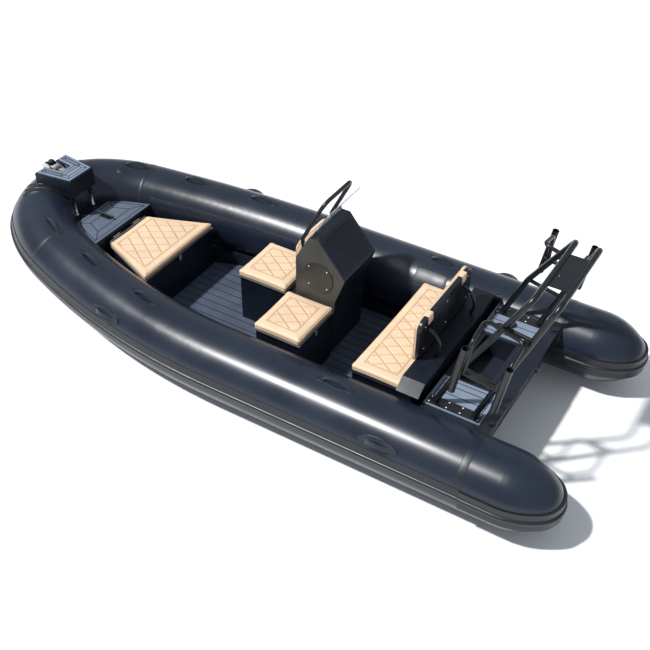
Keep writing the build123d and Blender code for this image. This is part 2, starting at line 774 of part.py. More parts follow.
bow_seat_top = 406
bow_cushion_thickness = 50
bow_rim = bow_seat_top - bow_cushion_thickness - sheet - rest_gap
latch_width, latch_height, latch_depth = 26, 46, 9
latch_drop = 4
with BuildPart() as latches:
    latch_rows = (  # aft face, port, rim
        (station(side_seat[0]), (side_seat[3] + side_seat[4]) / 2, seat_rim(side_seat)),
        (station(bow_locker_aft), 0, bow_rim),
    )
    for face, port, rim in latch_rows:
        top = rim - latch_drop
        sides = port - latch_width / 2, port + latch_width / 2
        block(face - latch_depth, face, *sides, top - latch_height, top)
finish(latches, "latches")

# Bow seat locker: a tapered box; its lid hangs from the bow deck's bulkhead
bow_locker_fore = 3205
bow_half_aft, bow_half_fore = 400, 206
bow_deck_aft = 3242


def bow_half(reach, inset):
    share = (reach - bow_locker_aft) / (bow_locker_fore - bow_locker_aft)
    return bow_half_aft + (bow_half_fore - bow_half_aft) * share - inset


def bow_plan(aft, fore, inset):
    half = [(station(aft), bow_half(aft, inset)), (station(fore), bow_half(fore, inset))]
    return half + [(x, -y) for x, y in reversed(half)]


with BuildPart() as bow_locker:
    plan_profile(bow_plan(bow_locker_aft, bow_locker_fore, seat_inset), floor_height, bow_rim)
    plan_profile(
        bow_plan(bow_locker_aft + wall, bow_locker_fore - wall, seat_inset + wall),
        floor_height + wall, bow_rim + overrun, mode=Mode.SUBTRACT,
    )
    for piece in (tube_port, tube_starboard, tube_bow, hull):
        add(piece.part, mode=Mode.SUBTRACT)
finish(bow_locker, "bow_locker")

bow_hinges = (-110, 110)
bow_lid_fore = 3212
bow_axis_x = station(bow_lid_fore) + hinge_reach + sheet / 2
bow_axis_z = bow_seat_top - barrel_diameter / 2
with BuildPart() as bow_seat_lid:
    plate = bow_rim + rest_gap
    plan_profile(bow_plan(bow_locker_aft - seat_inset, bow_lid_fore, 0), plate, plate + sheet)
    flange_half = bow_half(bow_lid_fore, 0)
    block(station(bow_lid_fore) - sheet, station(bow_lid_fore), -flange_half, flange_half, plate, bow_axis_z)
    for port in bow_hinges:
        edges = station(bow_lid_fore) - sheet, bow_axis_x
        hinge_barrel(bow_axis_x, bow_axis_z, port, *edges, bow_axis_z - tab, bow_axis_z)
finish(bow_seat_lid, "bow_seat_lid")

with BuildPart() as bow_cushion:
    outline = bow_plan(bow_locker_aft - seat_inset, bow_lid_fore - sheet, 0)
    plan_profile(outline, plate + sheet, bow_seat_top)
finish(bow_cushion, "bow_cushion")

# Bow deck over the anchor locker: a plate between the tubes with a bulkhead under its aft edge
bow_deck_top = 432
bow_deck_fore, bow_pad_fore = 3652, 3548
bow_deck_half_aft, bow_deck_half_fore, bow_pad_half_fore = 330, 150, 200
with BuildPart() as bow_deck_blank:
    half = [(station(bow_deck_aft), bow_deck_half_aft), (station(bow_deck_fore), bow_deck_half_fore)]
    plan = half + [(x, -y) for x, y in reversed(half)]
    plan_profile(plan, bow_deck_top - mat_thickness - wall, bow_deck_top - mat_thickness)
    half = bow_deck_half_aft
    block(station(bow_deck_aft), station(bow_deck_aft + wall), -half, half, floor_height, bow_deck_top)
    for port in bow_hinges:
        hinge_pin(bow_axis_x, bow_axis_z, port, station(bow_deck_aft))
    for piece in (tube_port, tube_starboard, tube_bow, hull):
        add(piece.part, mode=Mode.SUBTRACT)

with BuildPart() as bow_deck:
    add(bow_deck_blank.part.solids().sort_by(SortBy.VOLUME)[-1])
finish(bow_deck, "bow_deck")

with BuildPart() as bow_deck_pad:
    inset = wall
    half = [
        (station(bow_deck_aft) + inset, bow_deck_half_aft - mat_margin),
        (station(bow_pad_fore), bow_pad_half_fore),
    ]
    plan_profile(half + [(x, -y) for x, y in reversed(half)], bow_deck_top - mat_thickness, bow_deck_top)
    for tube in (tube_port, tube_starboard, tube_bow):
        add(tube.part, mode=Mode.SUBTRACT)

cleat_reach, cleat_length, cleat_bar, cleat_height = 3418, 150, 16, 34
cleat_post_spacing, cleat_base = 50, 6
with BuildPart() as bow_cleat:
    centre = Vector(station(cleat_reach), 0, bow_deck_top)
    ends = centre.X - cleat_post_spacing, centre.X + cleat_post_spacing
    block(*ends, -cleat_bar, cleat_bar, bow_deck_top, bow_deck_top + cleat_base)
    for side in (-1, 1):
        post = centre + Vector(side * cleat_post_spacing / 2, 0, 0)
        rod(post, post + Vector(0, 0, cleat_height - cleat_bar / 2), cleat_bar)
    bar_start = centre + Vector(-cleat_length / 2, 0, cleat_height - cleat_bar / 2)
    rod(bar_start, bar_start + Vector(cleat_length, 0, 0), cleat_bar)
finish(bow_cleat, "bow_cleat")

# Bow step: a skirted box over the bow tube, with a notch for the anchor roller
step_aft, step_fore = 3605, 3915
step_half_aft, step_half_fore = 125, 165
notch_aft, notch_half = 3765, 42
step_top = 745
step_drop = 140
step_outline = (  # reach, port
    (step_aft, step_half_aft),
    (step_fore, step_half_fore),
    (step_fore, notch_half * 1.4),
    (notch_aft, notch_half),
)


def step_plan(inset):
    (aft, half_aft), (fore, half_fore), (mouth, mouth_half), (end, end_half) = step_outline
    half = [
        (station(aft + inset), half_aft - inset),
        (station(fore - inset), half_fore - inset),
        (station(mouth - inset), mouth_half + inset),
        (station(end - inset), end_half + inset),
    ]
    return half + [(x, -y) for x, y in reversed(half)]


with BuildPart() as bow_step:
    plan_profile(step_plan(0), step_top - mat_thickness - step_drop, step_top - mat_thickness)
    add(tube_bow.part, mode=Mode.SUBTRACT)
finish(bow_step, "bow_step")

# Foam pads on the step, the bow deck and the stern deck
with BuildPart() as deck_pads:
    plan_profile(step_plan(mat_margin), step_top - mat_thickness, step_top)
    add(bow_deck_pad.part)
    for side in (-1, 1):
        near, far = sorted((side * pad_inner, side * pad_outer))
        block(station(pad_aft), station(pad_fore), near, far, deck_top, deck_top + mat_thickness)
    for tube in (tube_port, tube_starboard):
        add(tube.part, mode=Mode.SUBTRACT)
finish(deck_pads, "deck_pads")

roller_reach = 3925
roller_sink = 10  # of the roller's middle under the step's top
roller_height = step_top - roller_sink
roller_diameter, roller_width = 52, 56
cheek_thickness, cheek_gap = 5, 5
axle_diameter = 12
cheek_fore, cheek_aft = 3965, 3800
cheek_rise = 24
with BuildPart() as roller_bracket:
    inner = roller_width / 2 + cheek_gap
    for side in (-1, 1):
        near, far = sorted((side * inner, side * (inner + cheek_thickness)))
        cheek = [
            (station(cheek_aft), step_top - mat_thickness - step_drop),
            (station(cheek_fore), step_top - mat_thickness - step_drop),
            (station(cheek_fore), roller_height),
            (station(roller_reach), roller_height + cheek_rise),
            (station(cheek_aft), roller_height - cheek_rise),
        ]
        side_profile(cheek, near, far)
    web_fore = station(roller_reach) - roller_diameter
    low = step_top - mat_thickness - step_drop
    block(station(cheek_aft), web_fore, -inner, inner, low, roller_height - roller_diameter)
    axle_end = Vector(0, inner + cheek_thickness, 0)
    axle_middle = Vector(station(roller_reach), 0, roller_height)
    rod(axle_middle - axle_end, axle_middle + axle_end, axle_diameter)
    add(tube_bow.part, mode=Mode.SUBTRACT)
finish(roller_bracket, "roller_bracket")

roller_waist = 34
with BuildPart() as anchor_roller:
    with BuildSketch(Plane.YZ.offset(station(roller_reach))):
        with BuildLine():
            half_width = roller_width / 2
            rim, waist = roller_height + roller_diameter / 2, roller_height + roller_waist / 2
            bore = roller_height + axle_diameter / 2 + pin_clearance
            Polyline((half_width, rim), (half_width, bore), (-half_width, bore), (-half_width, rim))
            Polyline((-half_width, rim), (-half_width / 2, rim))
            ThreePointArc((-half_width / 2, rim), (0, waist), (half_width / 2, rim))
            Line((half_width / 2, rim), (half_width, rim))
        make_face()
    revolve(axis=Axis((station(roller_reach), 0, roller_height), (0, 1, 0)))
finish(anchor_roller, "anchor_roller")

# Handles on the tubes: flat strap arches on top, moulded grips low on the outside
strap_places = (950, 2470, 3030, 3500)
strap_length, strap_rise, strap_width, strap_thickness = 200, 34, 26, 7
grip_places = (540, 2640)
grip_length, grip_rise, grip_width, grip_thickness = 190, 42, 24, 14
grip_lean = 61
patch_length, patch_width, patch_thickness = 260, 90, 7
handle_sink = 16


def arch_band(plane, length, rise, width, thickness):
    with BuildSketch(Plane(origin=plane.origin, x_dir=plane.x_dir, z_dir=plane.y_dir)) as band:
        with BuildLine():
            outer = length / 2
            inner = outer - thickness
            ThreePointArc((-outer, 0), (0, -rise), (outer, 0))
            Polyline((outer, 0), (outer, handle_sink), (inner, handle_sink), (inner, 0))
            ThreePointArc((inner, 0), (0, -rise + thickness), (-inner, 0))
            Polyline((-inner, 0), (-inner, handle_sink), (-outer, handle_sink), (-outer, 0))
        make_face()
    extrude(band.sketch, amount=width / 2, both=True)


with BuildPart() as strap_handles:
    for reach in strap_places:
        for side in (-1, 1):
            arch_band(on_tube(reach, 0, side), strap_length, strap_rise, strap_width, strap_thickness)
    for tube in (tube_port, tube_starboard, tube_bow):
        add(tube.part, mode=Mode.SUBTRACT)
finish(strap_handles, "strap_handles")

grips = []
for reach in grip_places:
    with BuildPart() as grip:
        plane = on_tube(reach, grip_lean, 1)
        arch_band(plane, grip_length, grip_rise, grip_width, grip_thickness)
        with BuildSketch(plane.offset(patch_thickness)) as patch:
            Ellipse(patch_length / 2, patch_width / 2)
        extrude(patch.sketch, amount=-patch_thickness - handle_sink)
        add(tube_port.part, mode=Mode.SUBTRACT)
    grips.append(grip.part)

with BuildPart() as grip_handles:
    for grip_part in grips:
        add(grip_part)
        add(grip_part.mirror(Plane.XZ))
finish(grip_handles, "grip_handles")

# Stern arch: two bent hoops on base plates, joined by rungs
plate_thickness = 6
base_top = transom_height + plate_thickness
knee_tuck, top_tuck = 8, 170  # in from the feet
foot_half = inner_half
knee_half, top_half = foot_half - knee_tuck, foot_half - top_tuck
hoop_rows = (  # foot reach, knee reach, knee height, top reach, top height
    (391, 256, 795, -45, 1307),
    (137, 32, 747, -191, 1306),
)
knee_bend, top_bend = 160, 75


def hoop_points(row, side):
    foot_reach, knee_reach, knee_height, top_reach, top_height = row
    return [
        Vector(station(foot_reach), side * foot_half, base_top),
        Vector(station(knee_reach), side * knee_half, knee_height),
        Vector(station(top_reach), side * top_half, top_height),
    ]


with BuildPart() as arch_hoops:
    for row in hoop_rows:
        points = hoop_points(row, 1) + hoop_points(row, -1)[::-1]
        down = Vector(points[1] - points[0]).normalized() * frame_pipe
        points[0], points[-1] = points[0] - down, points[-1] - mirrored(down)
        pipe(points, [knee_bend, top_bend, top_bend, knee_bend], frame_pipe)
    half = foot_half * 2
    block(station(0), station(deck_front), -half, half, floor_height, base_top, mode=Mode.SUBTRACT)
finish(arch_hoops, "arch_hoops")


def along_leg(row, share, side):
    # A point on a leg's upper run, as a share of the way from the knee to the top
    foot, knee, top = hoop_points(row, side)
    return knee + (top - knee) * share


rung_share = 0.6
with BuildPart() as arch_rungs:
    for side in (-1, 1):
        for share in (0, rung_share):
            rod(along_leg(hoop_rows[0], share, side), along_leg(hoop_rows[1], share, side), rack_pipe)
    add(arch_hoops.part, mode=Mode.SUBTRACT)
finish(arch_rungs, "arch_rungs")

base_length, base_width = 345, 74
base_aft = 92
with BuildPart() as arch_bases:
    for side in (-1, 1):
        sides = side * foot_half - base_width / 2, side * foot_half + base_width / 2
        block(station(base_aft), station(base_aft + base_length), *sides, transom_height, base_top)
finish(arch_bases, "arch_bases")

top_plate_half = 172
hole_diameter = 11
hole_spacing_x, hole_spacing_y = 72, 108
with BuildPart() as arch_plate:
    fore, aft = hoop_rows[0][3], hoop_rows[1][3]
    middle, height = (fore + aft) / 2, (hoop_rows[0][4] + hoop_rows[1][4]) / 2
    low, high = height - plate_thickness / 2, height + plate_thickness / 2
    block(station(aft), station(fore), -top_plate_half, top_plate_half, low, high)
    with BuildSketch(Plane(origin=(station(middle), 0, height + plate_thickness))) as holes:
        with GridLocations(hole_spacing_x, hole_spacing_y, 2, 2):
            Circle(hole_diameter / 2)
    extrude(holes.sketch, amount=-2 * plate_thickness, mode=Mode.SUBTRACT)
    add(arch_hoops.part, mode=Mode.SUBTRACT)
finish(arch_plate, "arch_plate")

# Side racks: an outrigger hoop bolted to the arch, a rung with round ends, two rod holders
rack_top_half, rack_out_half = 430, 600
rack_fore, rack_aft = (175, 1140), (-65, 1075)
rack_rung_half, rack_rung_fore, rack_rung_aft = 632, (190, 892), (-14, 862)
rack_bend = 40
rack_rung_pipe = 28  # thicker than the hoop's tube, whose ends it takes in
holder_diameter, holder_bore, holder_length = 44, 38, 340
holder_weld = 2
holder_half = rack_rung_half + (rack_pipe + holder_diameter) / 2 - holder_weld
holder_rows = ((211, 930), (-52, 900))  # reach and height of each holder's middle
holder_rake = 9
rung_overhang = 30
clamp_reaches, clamp_size = (35, -70), 32

with BuildPart() as rack:
    top_fore = Vector(station(rack_fore[0]), rack_top_half, rack_fore[1])
    top_aft = Vector(station(rack_aft[0]), rack_top_half, rack_aft[1])
    drop_fore = Vector(station(rack_rung_fore[0]), rack_rung_half, rack_rung_fore[1])
    drop_aft = Vector(station(rack_rung_aft[0]), rack_rung_half, rack_rung_aft[1])
    out = Vector(0, rack_out_half - rack_top_half, -rack_bend)
    pipe([drop_fore, top_fore + out, top_fore, top_aft, top_aft + out, drop_aft], [rack_bend] * 4, rack_pipe)
    along = (drop_fore - drop_aft).normalized()
    rod(drop_aft - along * rung_overhang, drop_fore + along * rung_overhang, rack_rung_pipe)
    rack_rise = (rack_fore[1] - rack_aft[1]) / (rack_fore[0] - rack_aft[0])
    rung_half = along_leg(hoop_rows[0], rung_share, 1).Y
    for reach in clamp_reaches:
        height = rack_aft[1] + rack_rise * (reach - rack_aft[0])
        spread = station(reach) - clamp_size / 2, station(reach) + clamp_size / 2
        block(*spread, rung_half, rack_top_half, height - clamp_size / 2, height + clamp_size / 2)
    for reach, height in holder_rows:
        middle = Vector(station(reach), holder_half, height)
        axis = Vector(-sin(radians(holder_rake)), 0, cos(radians(holder_rake)))
        start, end = middle - axis * (holder_length / 2), middle + axis * (holder_length / 2)
        rod(start, end, holder_diameter)
        rod(start + axis * overrun, end + axis * overrun, holder_bore, mode=Mode.SUBTRACT)
    for piece in (arch_hoops, arch_rungs):
        add(piece.part, mode=Mode.SUBTRACT)

with BuildPart() as rod_racks:
    add(rack.part)
    add(rack.part.mirror(Plane.XZ))
finish(rod_racks, "rod_racks")

# Tow eyes on the transom's aft face
eye_half, eye_height, eye_outer, eye_pipe = 430, 150, 60, 12
with BuildPart() as tow_eyes:
    for side in (-1, 1):
        with BuildSketch(Plane.XZ.offset(-side * eye_half)) as eye:
            with Locations((transom_front(eye_height) - transom_thickness, eye_height)):
                Circle(eye_outer / 2)
                Circle(eye_outer / 2 - eye_pipe, mode=Mode.SUBTRACT)
        extrude(eye.sketch, amount=eye_pipe / 2, both=True)
    side_profile(slab, -eye_half * 2, eye_half * 2, mode=Mode.SUBTRACT)
finish(tow_eyes, "tow_eyes")
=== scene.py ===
import math

import bmesh
import bpy
from mathutils import Matrix, Vector
from mathutils.bvhtree import BVHTree


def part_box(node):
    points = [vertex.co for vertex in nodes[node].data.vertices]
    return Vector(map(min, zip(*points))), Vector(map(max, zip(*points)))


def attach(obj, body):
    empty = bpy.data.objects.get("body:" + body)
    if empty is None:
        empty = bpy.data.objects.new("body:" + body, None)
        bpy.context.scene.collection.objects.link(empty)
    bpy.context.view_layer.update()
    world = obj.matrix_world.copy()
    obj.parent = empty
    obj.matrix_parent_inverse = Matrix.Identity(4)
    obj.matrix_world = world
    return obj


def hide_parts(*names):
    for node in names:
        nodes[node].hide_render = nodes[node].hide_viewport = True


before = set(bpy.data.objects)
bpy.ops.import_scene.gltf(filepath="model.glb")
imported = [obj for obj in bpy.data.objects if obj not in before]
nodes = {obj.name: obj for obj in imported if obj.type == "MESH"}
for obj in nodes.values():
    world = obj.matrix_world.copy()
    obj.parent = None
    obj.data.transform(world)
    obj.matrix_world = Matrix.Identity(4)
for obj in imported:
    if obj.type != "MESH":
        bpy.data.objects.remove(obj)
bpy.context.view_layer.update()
scene = bpy.context.scene
scene.view_settings.view_transform = "Standard"
bowAxis, portAxis, upAxis = Vector((1, 0, 0)), Vector((0, 1, 0)), Vector((0, 0, 1))
print("frame loaded:", len(nodes), "nodes")


def newObject(name, data):
    made = bpy.data.objects.new(name, data)
    scene.collection.objects.link(made)
    return made


def addNode(tree, kind, inputs, **settings):
    # inputs: the value of each socket, or the socket that feeds it
    node = tree.nodes.new(kind)
    for key, value in settings.items():
        setattr(node, key, value)
    for key, value in inputs.items():
        if isinstance(value, bpy.types.NodeSocket):
            tree.links.new(value, node.inputs[key])
        else:
            node.inputs[key].default_value = value
    return node


def mathNode(tree, operation, *values):
    return addNode(tree, "ShaderNodeMath", dict(enumerate(values)), operation=operation).outputs["Value"]


def newMaterial(name, color, roughness, metallic=0.0, specular=0.5):
    material = bpy.data.materials.new(name)
    material.use_nodes = True
    shader = material.node_tree.nodes["Principled BSDF"]
    shader.inputs["Base Color"].default_value = (*color, 1)
    shader.inputs["Roughness"].default_value = roughness
    shader.inputs["Metallic"].default_value = metallic
    shader.inputs["Specular IOR Level"].default_value = specular
    return material


# Camera, at the photograph's angle
cameraView = {
    "place": (-3.051, 4.545, 4.64),
    "azimuth": 31.03,
    "elevation": 39.77,
    "roll": 0.63,
    "lens": 55.18,
    "sensor": 36.0,
    "clip": (0.1, 200),
}


def makeCamera(view):
    data = bpy.data.cameras.new("photoCamera")
    data.lens, data.sensor_width = view["lens"], view["sensor"]
    data.clip_start, data.clip_end = view["clip"]
    turn, rise, roll = (math.radians(view[key]) for key in ("azimuth", "elevation", "roll"))
    back = Vector((-math.sin(turn) * math.cos(rise), math.cos(turn) * math.cos(rise), math.sin(rise)))
    side = Vector((-math.cos(turn), -math.sin(turn), 0))
    up = back.cross(side)
    right = side * math.cos(roll) + up * math.sin(roll)
    top = up * math.cos(roll) - side * math.sin(roll)
    matrix = Matrix((right, top, back)).transposed().to_4x4()
    matrix.translation = Vector(view["place"])
    camera = newObject("photoCamera", data)
    camera.matrix_world = matrix
    scene.camera = camera


makeCamera(cameraView)

# Light: one sun from the port bow, its direction read from the grab rail's shadow, a pale sky, a white floor
lightSetup = {
    "sunStrength": 3.7,
    "sunAngle": 3.0,
    "sunFrom": (0.454, 0.486, 1.0),
    "skyStrength": 0.47,
    "skyColor": (0.84, 0.92, 1.0, 1),
    "floorSize": 60.0,
    "floorColor": (0.93, 0.93, 0.93),
    "floorRoughness": 0.9,
}


def makeLight(setup):
    sun = bpy.data.lights.new("studioSun", "SUN")
    sun.energy, sun.angle = setup["sunStrength"], math.radians(setup["sunAngle"])
    lamp = newObject("studioSun", sun)
    lamp.rotation_mode = "QUATERNION"
    lamp.rotation_quaternion = Vector(setup["sunFrom"]).to_track_quat("Z", "Y")
    world = bpy.data.worlds.new("studioSky")
    scene.world = world
    world.use_nodes = True
    tree = world.node_tree
    tree.nodes.clear()
    seen = addNode(tree, "ShaderNodeBackground", {"Color": (1, 1, 1, 1)})
    lit = addNode(tree, "ShaderNodeBackground", {"Color": setup["skyColor"], "Strength": setup["skyStrength"]})
    rays = addNode(tree, "ShaderNodeLightPath", {}).outputs
    shown = mathNode(tree, "MAXIMUM", rays["Is Camera Ray"], rays["Is Transmission Ray"])
    mix = addNode(tree, "ShaderNodeMixShader", {"Fac": shown, 1: lit.outputs[0], 2: seen.outputs[0]})
    addNode(tree, "ShaderNodeOutputWorld", {"Surface": mix.outputs[0]})


def makeFloor(setup):
    mesh = bpy.data.meshes.new("studioFloor")
    half = setup["floorSize"] / 2
    mesh.from_pydata([(-half, -half, 0), (half, -half, 0), (half, half, 0), (-half, half, 0)], [], [(0, 1, 2, 3)])
    mesh.materials.append(newMaterial("floorWhite", setup["floorColor"], setup["floorRoughness"], specular=0))
    newObject("studioFloor", mesh)


makeLight(lightSetup)
makeFloor(lightSetup)
print("camera, light and floor made")

# Materials. grain: scale, bump strength, bump distance; mottle: scale and depth of the colour's variation
finishes = {
    "tubeFabric": dict(color=(0.0115, 0.0168, 0.031), roughness=0.29, grain=(520, 0.1, 0.0004), mottle=(2.5, 0.2)),
    "tubePatch": dict(color=(0.0105, 0.015, 0.026), roughness=0.4, grain=(420, 0.2, 0.0005), mottle=(9, 0.2)),
    "railRubber": dict(color=(0.011, 0.013, 0.018), roughness=0.36, grain=(300, 0.2, 0.0005), mottle=(6, 0.3)),
    # the rail's rubber painted lighter for the strap and grip handles: a painted sheen standing in for their highlights
    "handleRubberPaintedSheen": dict(color=(0.022, 0.027, 0.037), roughness=0.3, grain=(300, 0.2, 0.0005), mottle=(8, 0.25)),
    "hullCoat": dict(color=(0.008, 0.0115, 0.021), roughness=0.42, grain=(260, 0.15, 0.0003), mottle=(4, 0.2)),
    "boxCoat": dict(color=(0.0055, 0.0085, 0.0175), roughness=0.44, grain=(700, 0.2, 0.0003), mottle=(5, 0.2),
                    specular=0.3),
    "consolePaint": dict(color=(0.0105, 0.0155, 0.029), roughness=0.42, grain=(500, 0.25, 0.0003), mottle=(6, 0.25),
                         specular=0.35),
    "sideCoat": dict(color=(0.036, 0.037, 0.038), roughness=0.4, grain=(260, 0.35, 0.0004), mottle=(7, 0.3)),
    "frameCoat": dict(color=(0.007, 0.008, 0.01), roughness=0.3, grain=(500, 0.08, 0.0002), mottle=(10, 0.2)),
    "blackNylon": dict(color=(0.008, 0.009, 0.011), roughness=0.48, grain=(800, 0.2, 0.0003), mottle=(12, 0.2)),
    "lineFoam": dict(color=(0.01, 0.013, 0.02), roughness=0.8, grain=(900, 0.3, 0.0004), mottle=(8, 0.2)),
    "plankFoam": dict(color=(0.06, 0.079, 0.118), roughness=0.85, grain=(1400, 0.4, 0.0005), mottle=(5, 0.2),
                      stretch=(0.12, 1, 1)),
    "padFoam": dict(color=(0.2, 0.25, 0.33), roughness=0.85, grain=(1400, 0.4, 0.0005), mottle=(7, 0.12),
                    stretch=(0.12, 1, 1)),
    "seatCover": dict(color=(0.77, 0.565, 0.38), roughness=0.5, grain=(900, 0.3, 0.0005), mottle=(7, 0.07)),
    "thread": dict(color=(0.72, 0.54, 0.36), roughness=0.7, grain=(2200, 0.5, 0.0002), mottle=(40, 0.12)),
    "lidMetal": dict(color=(0.2, 0.21, 0.22), roughness=0.35, grain=(700, 0.1, 0.0002), mottle=(8, 0.15), metallic=0.6),
    "whiteCap": dict(color=(0.75, 0.75, 0.73), roughness=0.35, grain=(900, 0.1, 0.0002), mottle=(30, 0.06)),
    "stainless": dict(color=(0.62, 0.62, 0.61), roughness=0.25, grain=(900, 0.05, 0.0002), mottle=(20, 0.1),
                      metallic=1.0),
}
grainMake = {"fineDetail": 3, "cloudDetail": 5, "cloudReach": (0.3, 0.7), "roughSwing": 0.06, "roughLeast": 0.02}


def grainMaterial(name, color, roughness, grain, mottle, metallic=0.0, specular=0.5, stretch=(1, 1, 1)):
    make = grainMake
    material = newMaterial(name, color, roughness, metallic, specular)
    tree = material.node_tree
    place = addNode(tree, "ShaderNodeTexCoord", {}).outputs["Object"]
    mapping = addNode(tree, "ShaderNodeMapping", {"Vector": place, "Scale": stretch})
    fine = addNode(tree, "ShaderNodeTexNoise", {"Vector": mapping.outputs["Vector"], "Scale": grain[0],
                                                "Detail": make["fineDetail"]})
    bump = addNode(tree, "ShaderNodeBump", {"Height": fine.outputs["Fac"], "Strength": grain[1], "Distance": grain[2]})
    cloud = addNode(tree, "ShaderNodeTexNoise", {"Vector": place, "Scale": mottle[0], "Detail": make["cloudDetail"]})
    given = {"Value": cloud.outputs["Fac"], "From Min": make["cloudReach"][0], "From Max": make["cloudReach"][1]}
    ramp = addNode(tree, "ShaderNodeMapRange", {**given, "To Min": 1 - mottle[1], "To Max": 1 + mottle[1]})
    tint = addNode(tree, "ShaderNodeMix", {"Factor": 1, "A": (*color, 1), "B": ramp.outputs["Result"]},
                   data_type="RGBA", blend_type="MULTIPLY")
    least, most = max(roughness - make["roughSwing"], make["roughLeast"]), roughness + make["roughSwing"]
    rough = addNode(tree, "ShaderNodeMapRange", {**given, "To Min": least, "To Max": most})
    shader = tree.nodes["Principled BSDF"]
    tree.links.new(bump.outputs["Normal"], shader.inputs["Normal"])
    tree.links.new(tint.outputs["Result"], shader.inputs["Base Color"])
    tree.links.new(rough.outputs["Result"], shader.inputs["Roughness"])
    return material


paints = {name: grainMaterial(name, **values) for name, values in finishes.items()}

# Patterns and painted shade on four of them, and the screen
# painted shade: the seat cover is darkened in its quilted seams and channels, where shade falls
seatPaintedShade = {"shade": (0.6, 0.48, 0.38)}
plankLines = {"pitch": 0.07, "width": 0.007, "shade": (0.08, 0.09, 0.11)}
bowDeckPad = {"middle": 1.6, "half": 0.19, "shade": (0.5, 0.5, 0.52)}
consoleSide = {"facing": 0.95, "shade": (6.6, 4.4, 2.2)}
screenSheet = {"color": (0.82, 0.86, 0.9), "roughness": 0.12, "transmission": 0.72, "refraction": 1.35}


def shadeWhere(material, factor, shade):
    # Multiplies the colour by the shade where the factor is 1
    tree = material.node_tree
    shader = tree.nodes["Principled BSDF"]
    source = shader.inputs["Base Color"].links[0].from_socket
    mix = addNode(tree, "ShaderNodeMix", {"Factor": factor, "A": source, "B": (*shade, 1)},
                  data_type="RGBA", blend_type="MULTIPLY")
    tree.links.new(mix.outputs["Result"], shader.inputs["Base Color"])


def splitAxis(tree, kind, output, axis):
    source = addNode(tree, kind, {}).outputs[output]
    return addNode(tree, "ShaderNodeSeparateXYZ", {"Vector": source}).outputs[axis]


def addPatternsAndPaintedShade():
    # painted shade in the cushions' seams and channels, from the attribute that quilt() stores
    paintedCreaseShade = addNode(paints["seatCover"].node_tree, "ShaderNodeAttribute", {}, attribute_name="paintedCreaseShade")
    shadeWhere(paints["seatCover"], paintedCreaseShade.outputs["Fac"], seatPaintedShade["shade"])
    tree = paints["plankFoam"].node_tree
    share = mathNode(tree, "PINGPONG", splitAxis(tree, "ShaderNodeTexCoord", "Object", "Y"), plankLines["pitch"] / 2)
    shadeWhere(paints["plankFoam"], mathNode(tree, "LESS_THAN", share, plankLines["width"] / 2), plankLines["shade"])
    tree = paints["padFoam"].node_tree  # the pad on the bow deck is darker than the others
    reach = splitAxis(tree, "ShaderNodeTexCoord", "Object", "X")
    onDeck = mathNode(tree, "COMPARE", reach, bowDeckPad["middle"], bowDeckPad["half"])
    shadeWhere(paints["padFoam"], onDeck, bowDeckPad["shade"])
    tree = paints["consolePaint"].node_tree  # the console's port side is a lighter panel
    toPort = splitAxis(tree, "ShaderNodeNewGeometry", "Normal", "Y")
    shadeWhere(paints["consolePaint"], mathNode(tree, "GREATER_THAN", toPort, consoleSide["facing"]),
               consoleSide["shade"])


def clearScreen(sheet):
    material = newMaterial("clearScreen", sheet["color"], sheet["roughness"])
    shader = material.node_tree.nodes["Principled BSDF"]
    shader.inputs["Transmission Weight"].default_value = sheet["transmission"]
    shader.inputs["IOR"].default_value = sheet["refraction"]
    return material


addPatternsAndPaintedShade()
paints["clearScreen"] = clearScreen(screenSheet)
coats = {
    "tubeFabric": "tube_port tube_starboard tube_bow stern_cones",
    "railRubber": "rub_rail cone_rails",
    "handleRubberPaintedSheen": "strap_handles grip_handles",
    "hullCoat": "hull transom stern_deck",
    "boxCoat": "bench_box bench_lid seat_boxes bow_locker bow_deck bow_step",
    "lidMetal": "front_seat_lid side_seat_lid bow_seat_lid",
    "consolePaint": "console",
    "seatCover": "bench_cushion backrest_cushion front_cushion side_cushion front_backrest bow_cushion",
    "plankFoam": "cockpit_mat",
    "padFoam": "deck_pads",
    "sideCoat": "hatch_plate",
    "frameCoat": "arch_hoops arch_rungs arch_bases arch_plate rod_racks grab_rail backrest_arms backrest_board",
    "blackNylon": "bow_cleat deck_fittings anchor_roller",
    "stainless": "latches roller_bracket tow_eyes",
    "clearScreen": "windscreen",
}
for paint, names in coats.items():
    for name in names.split():
        mesh = nodes[name].data
        mesh.materials.clear()
        mesh.materials.append(paints[paint])
print("materials on the frame")

# The tubes' axis on the port side, in metres along it from the transom
tubePath = {
    "transom": -1.7905,
    "radius": 0.236,
    "spacing": 0.738,
    "height": 0.276,
    "straight": 1.8,
    "bow": 3.885,
    "pitch": 6.5,
    "shoulderYaw": 17,
    "noseYaw": 41.5,
    "shoulderShare": 0.775,
}


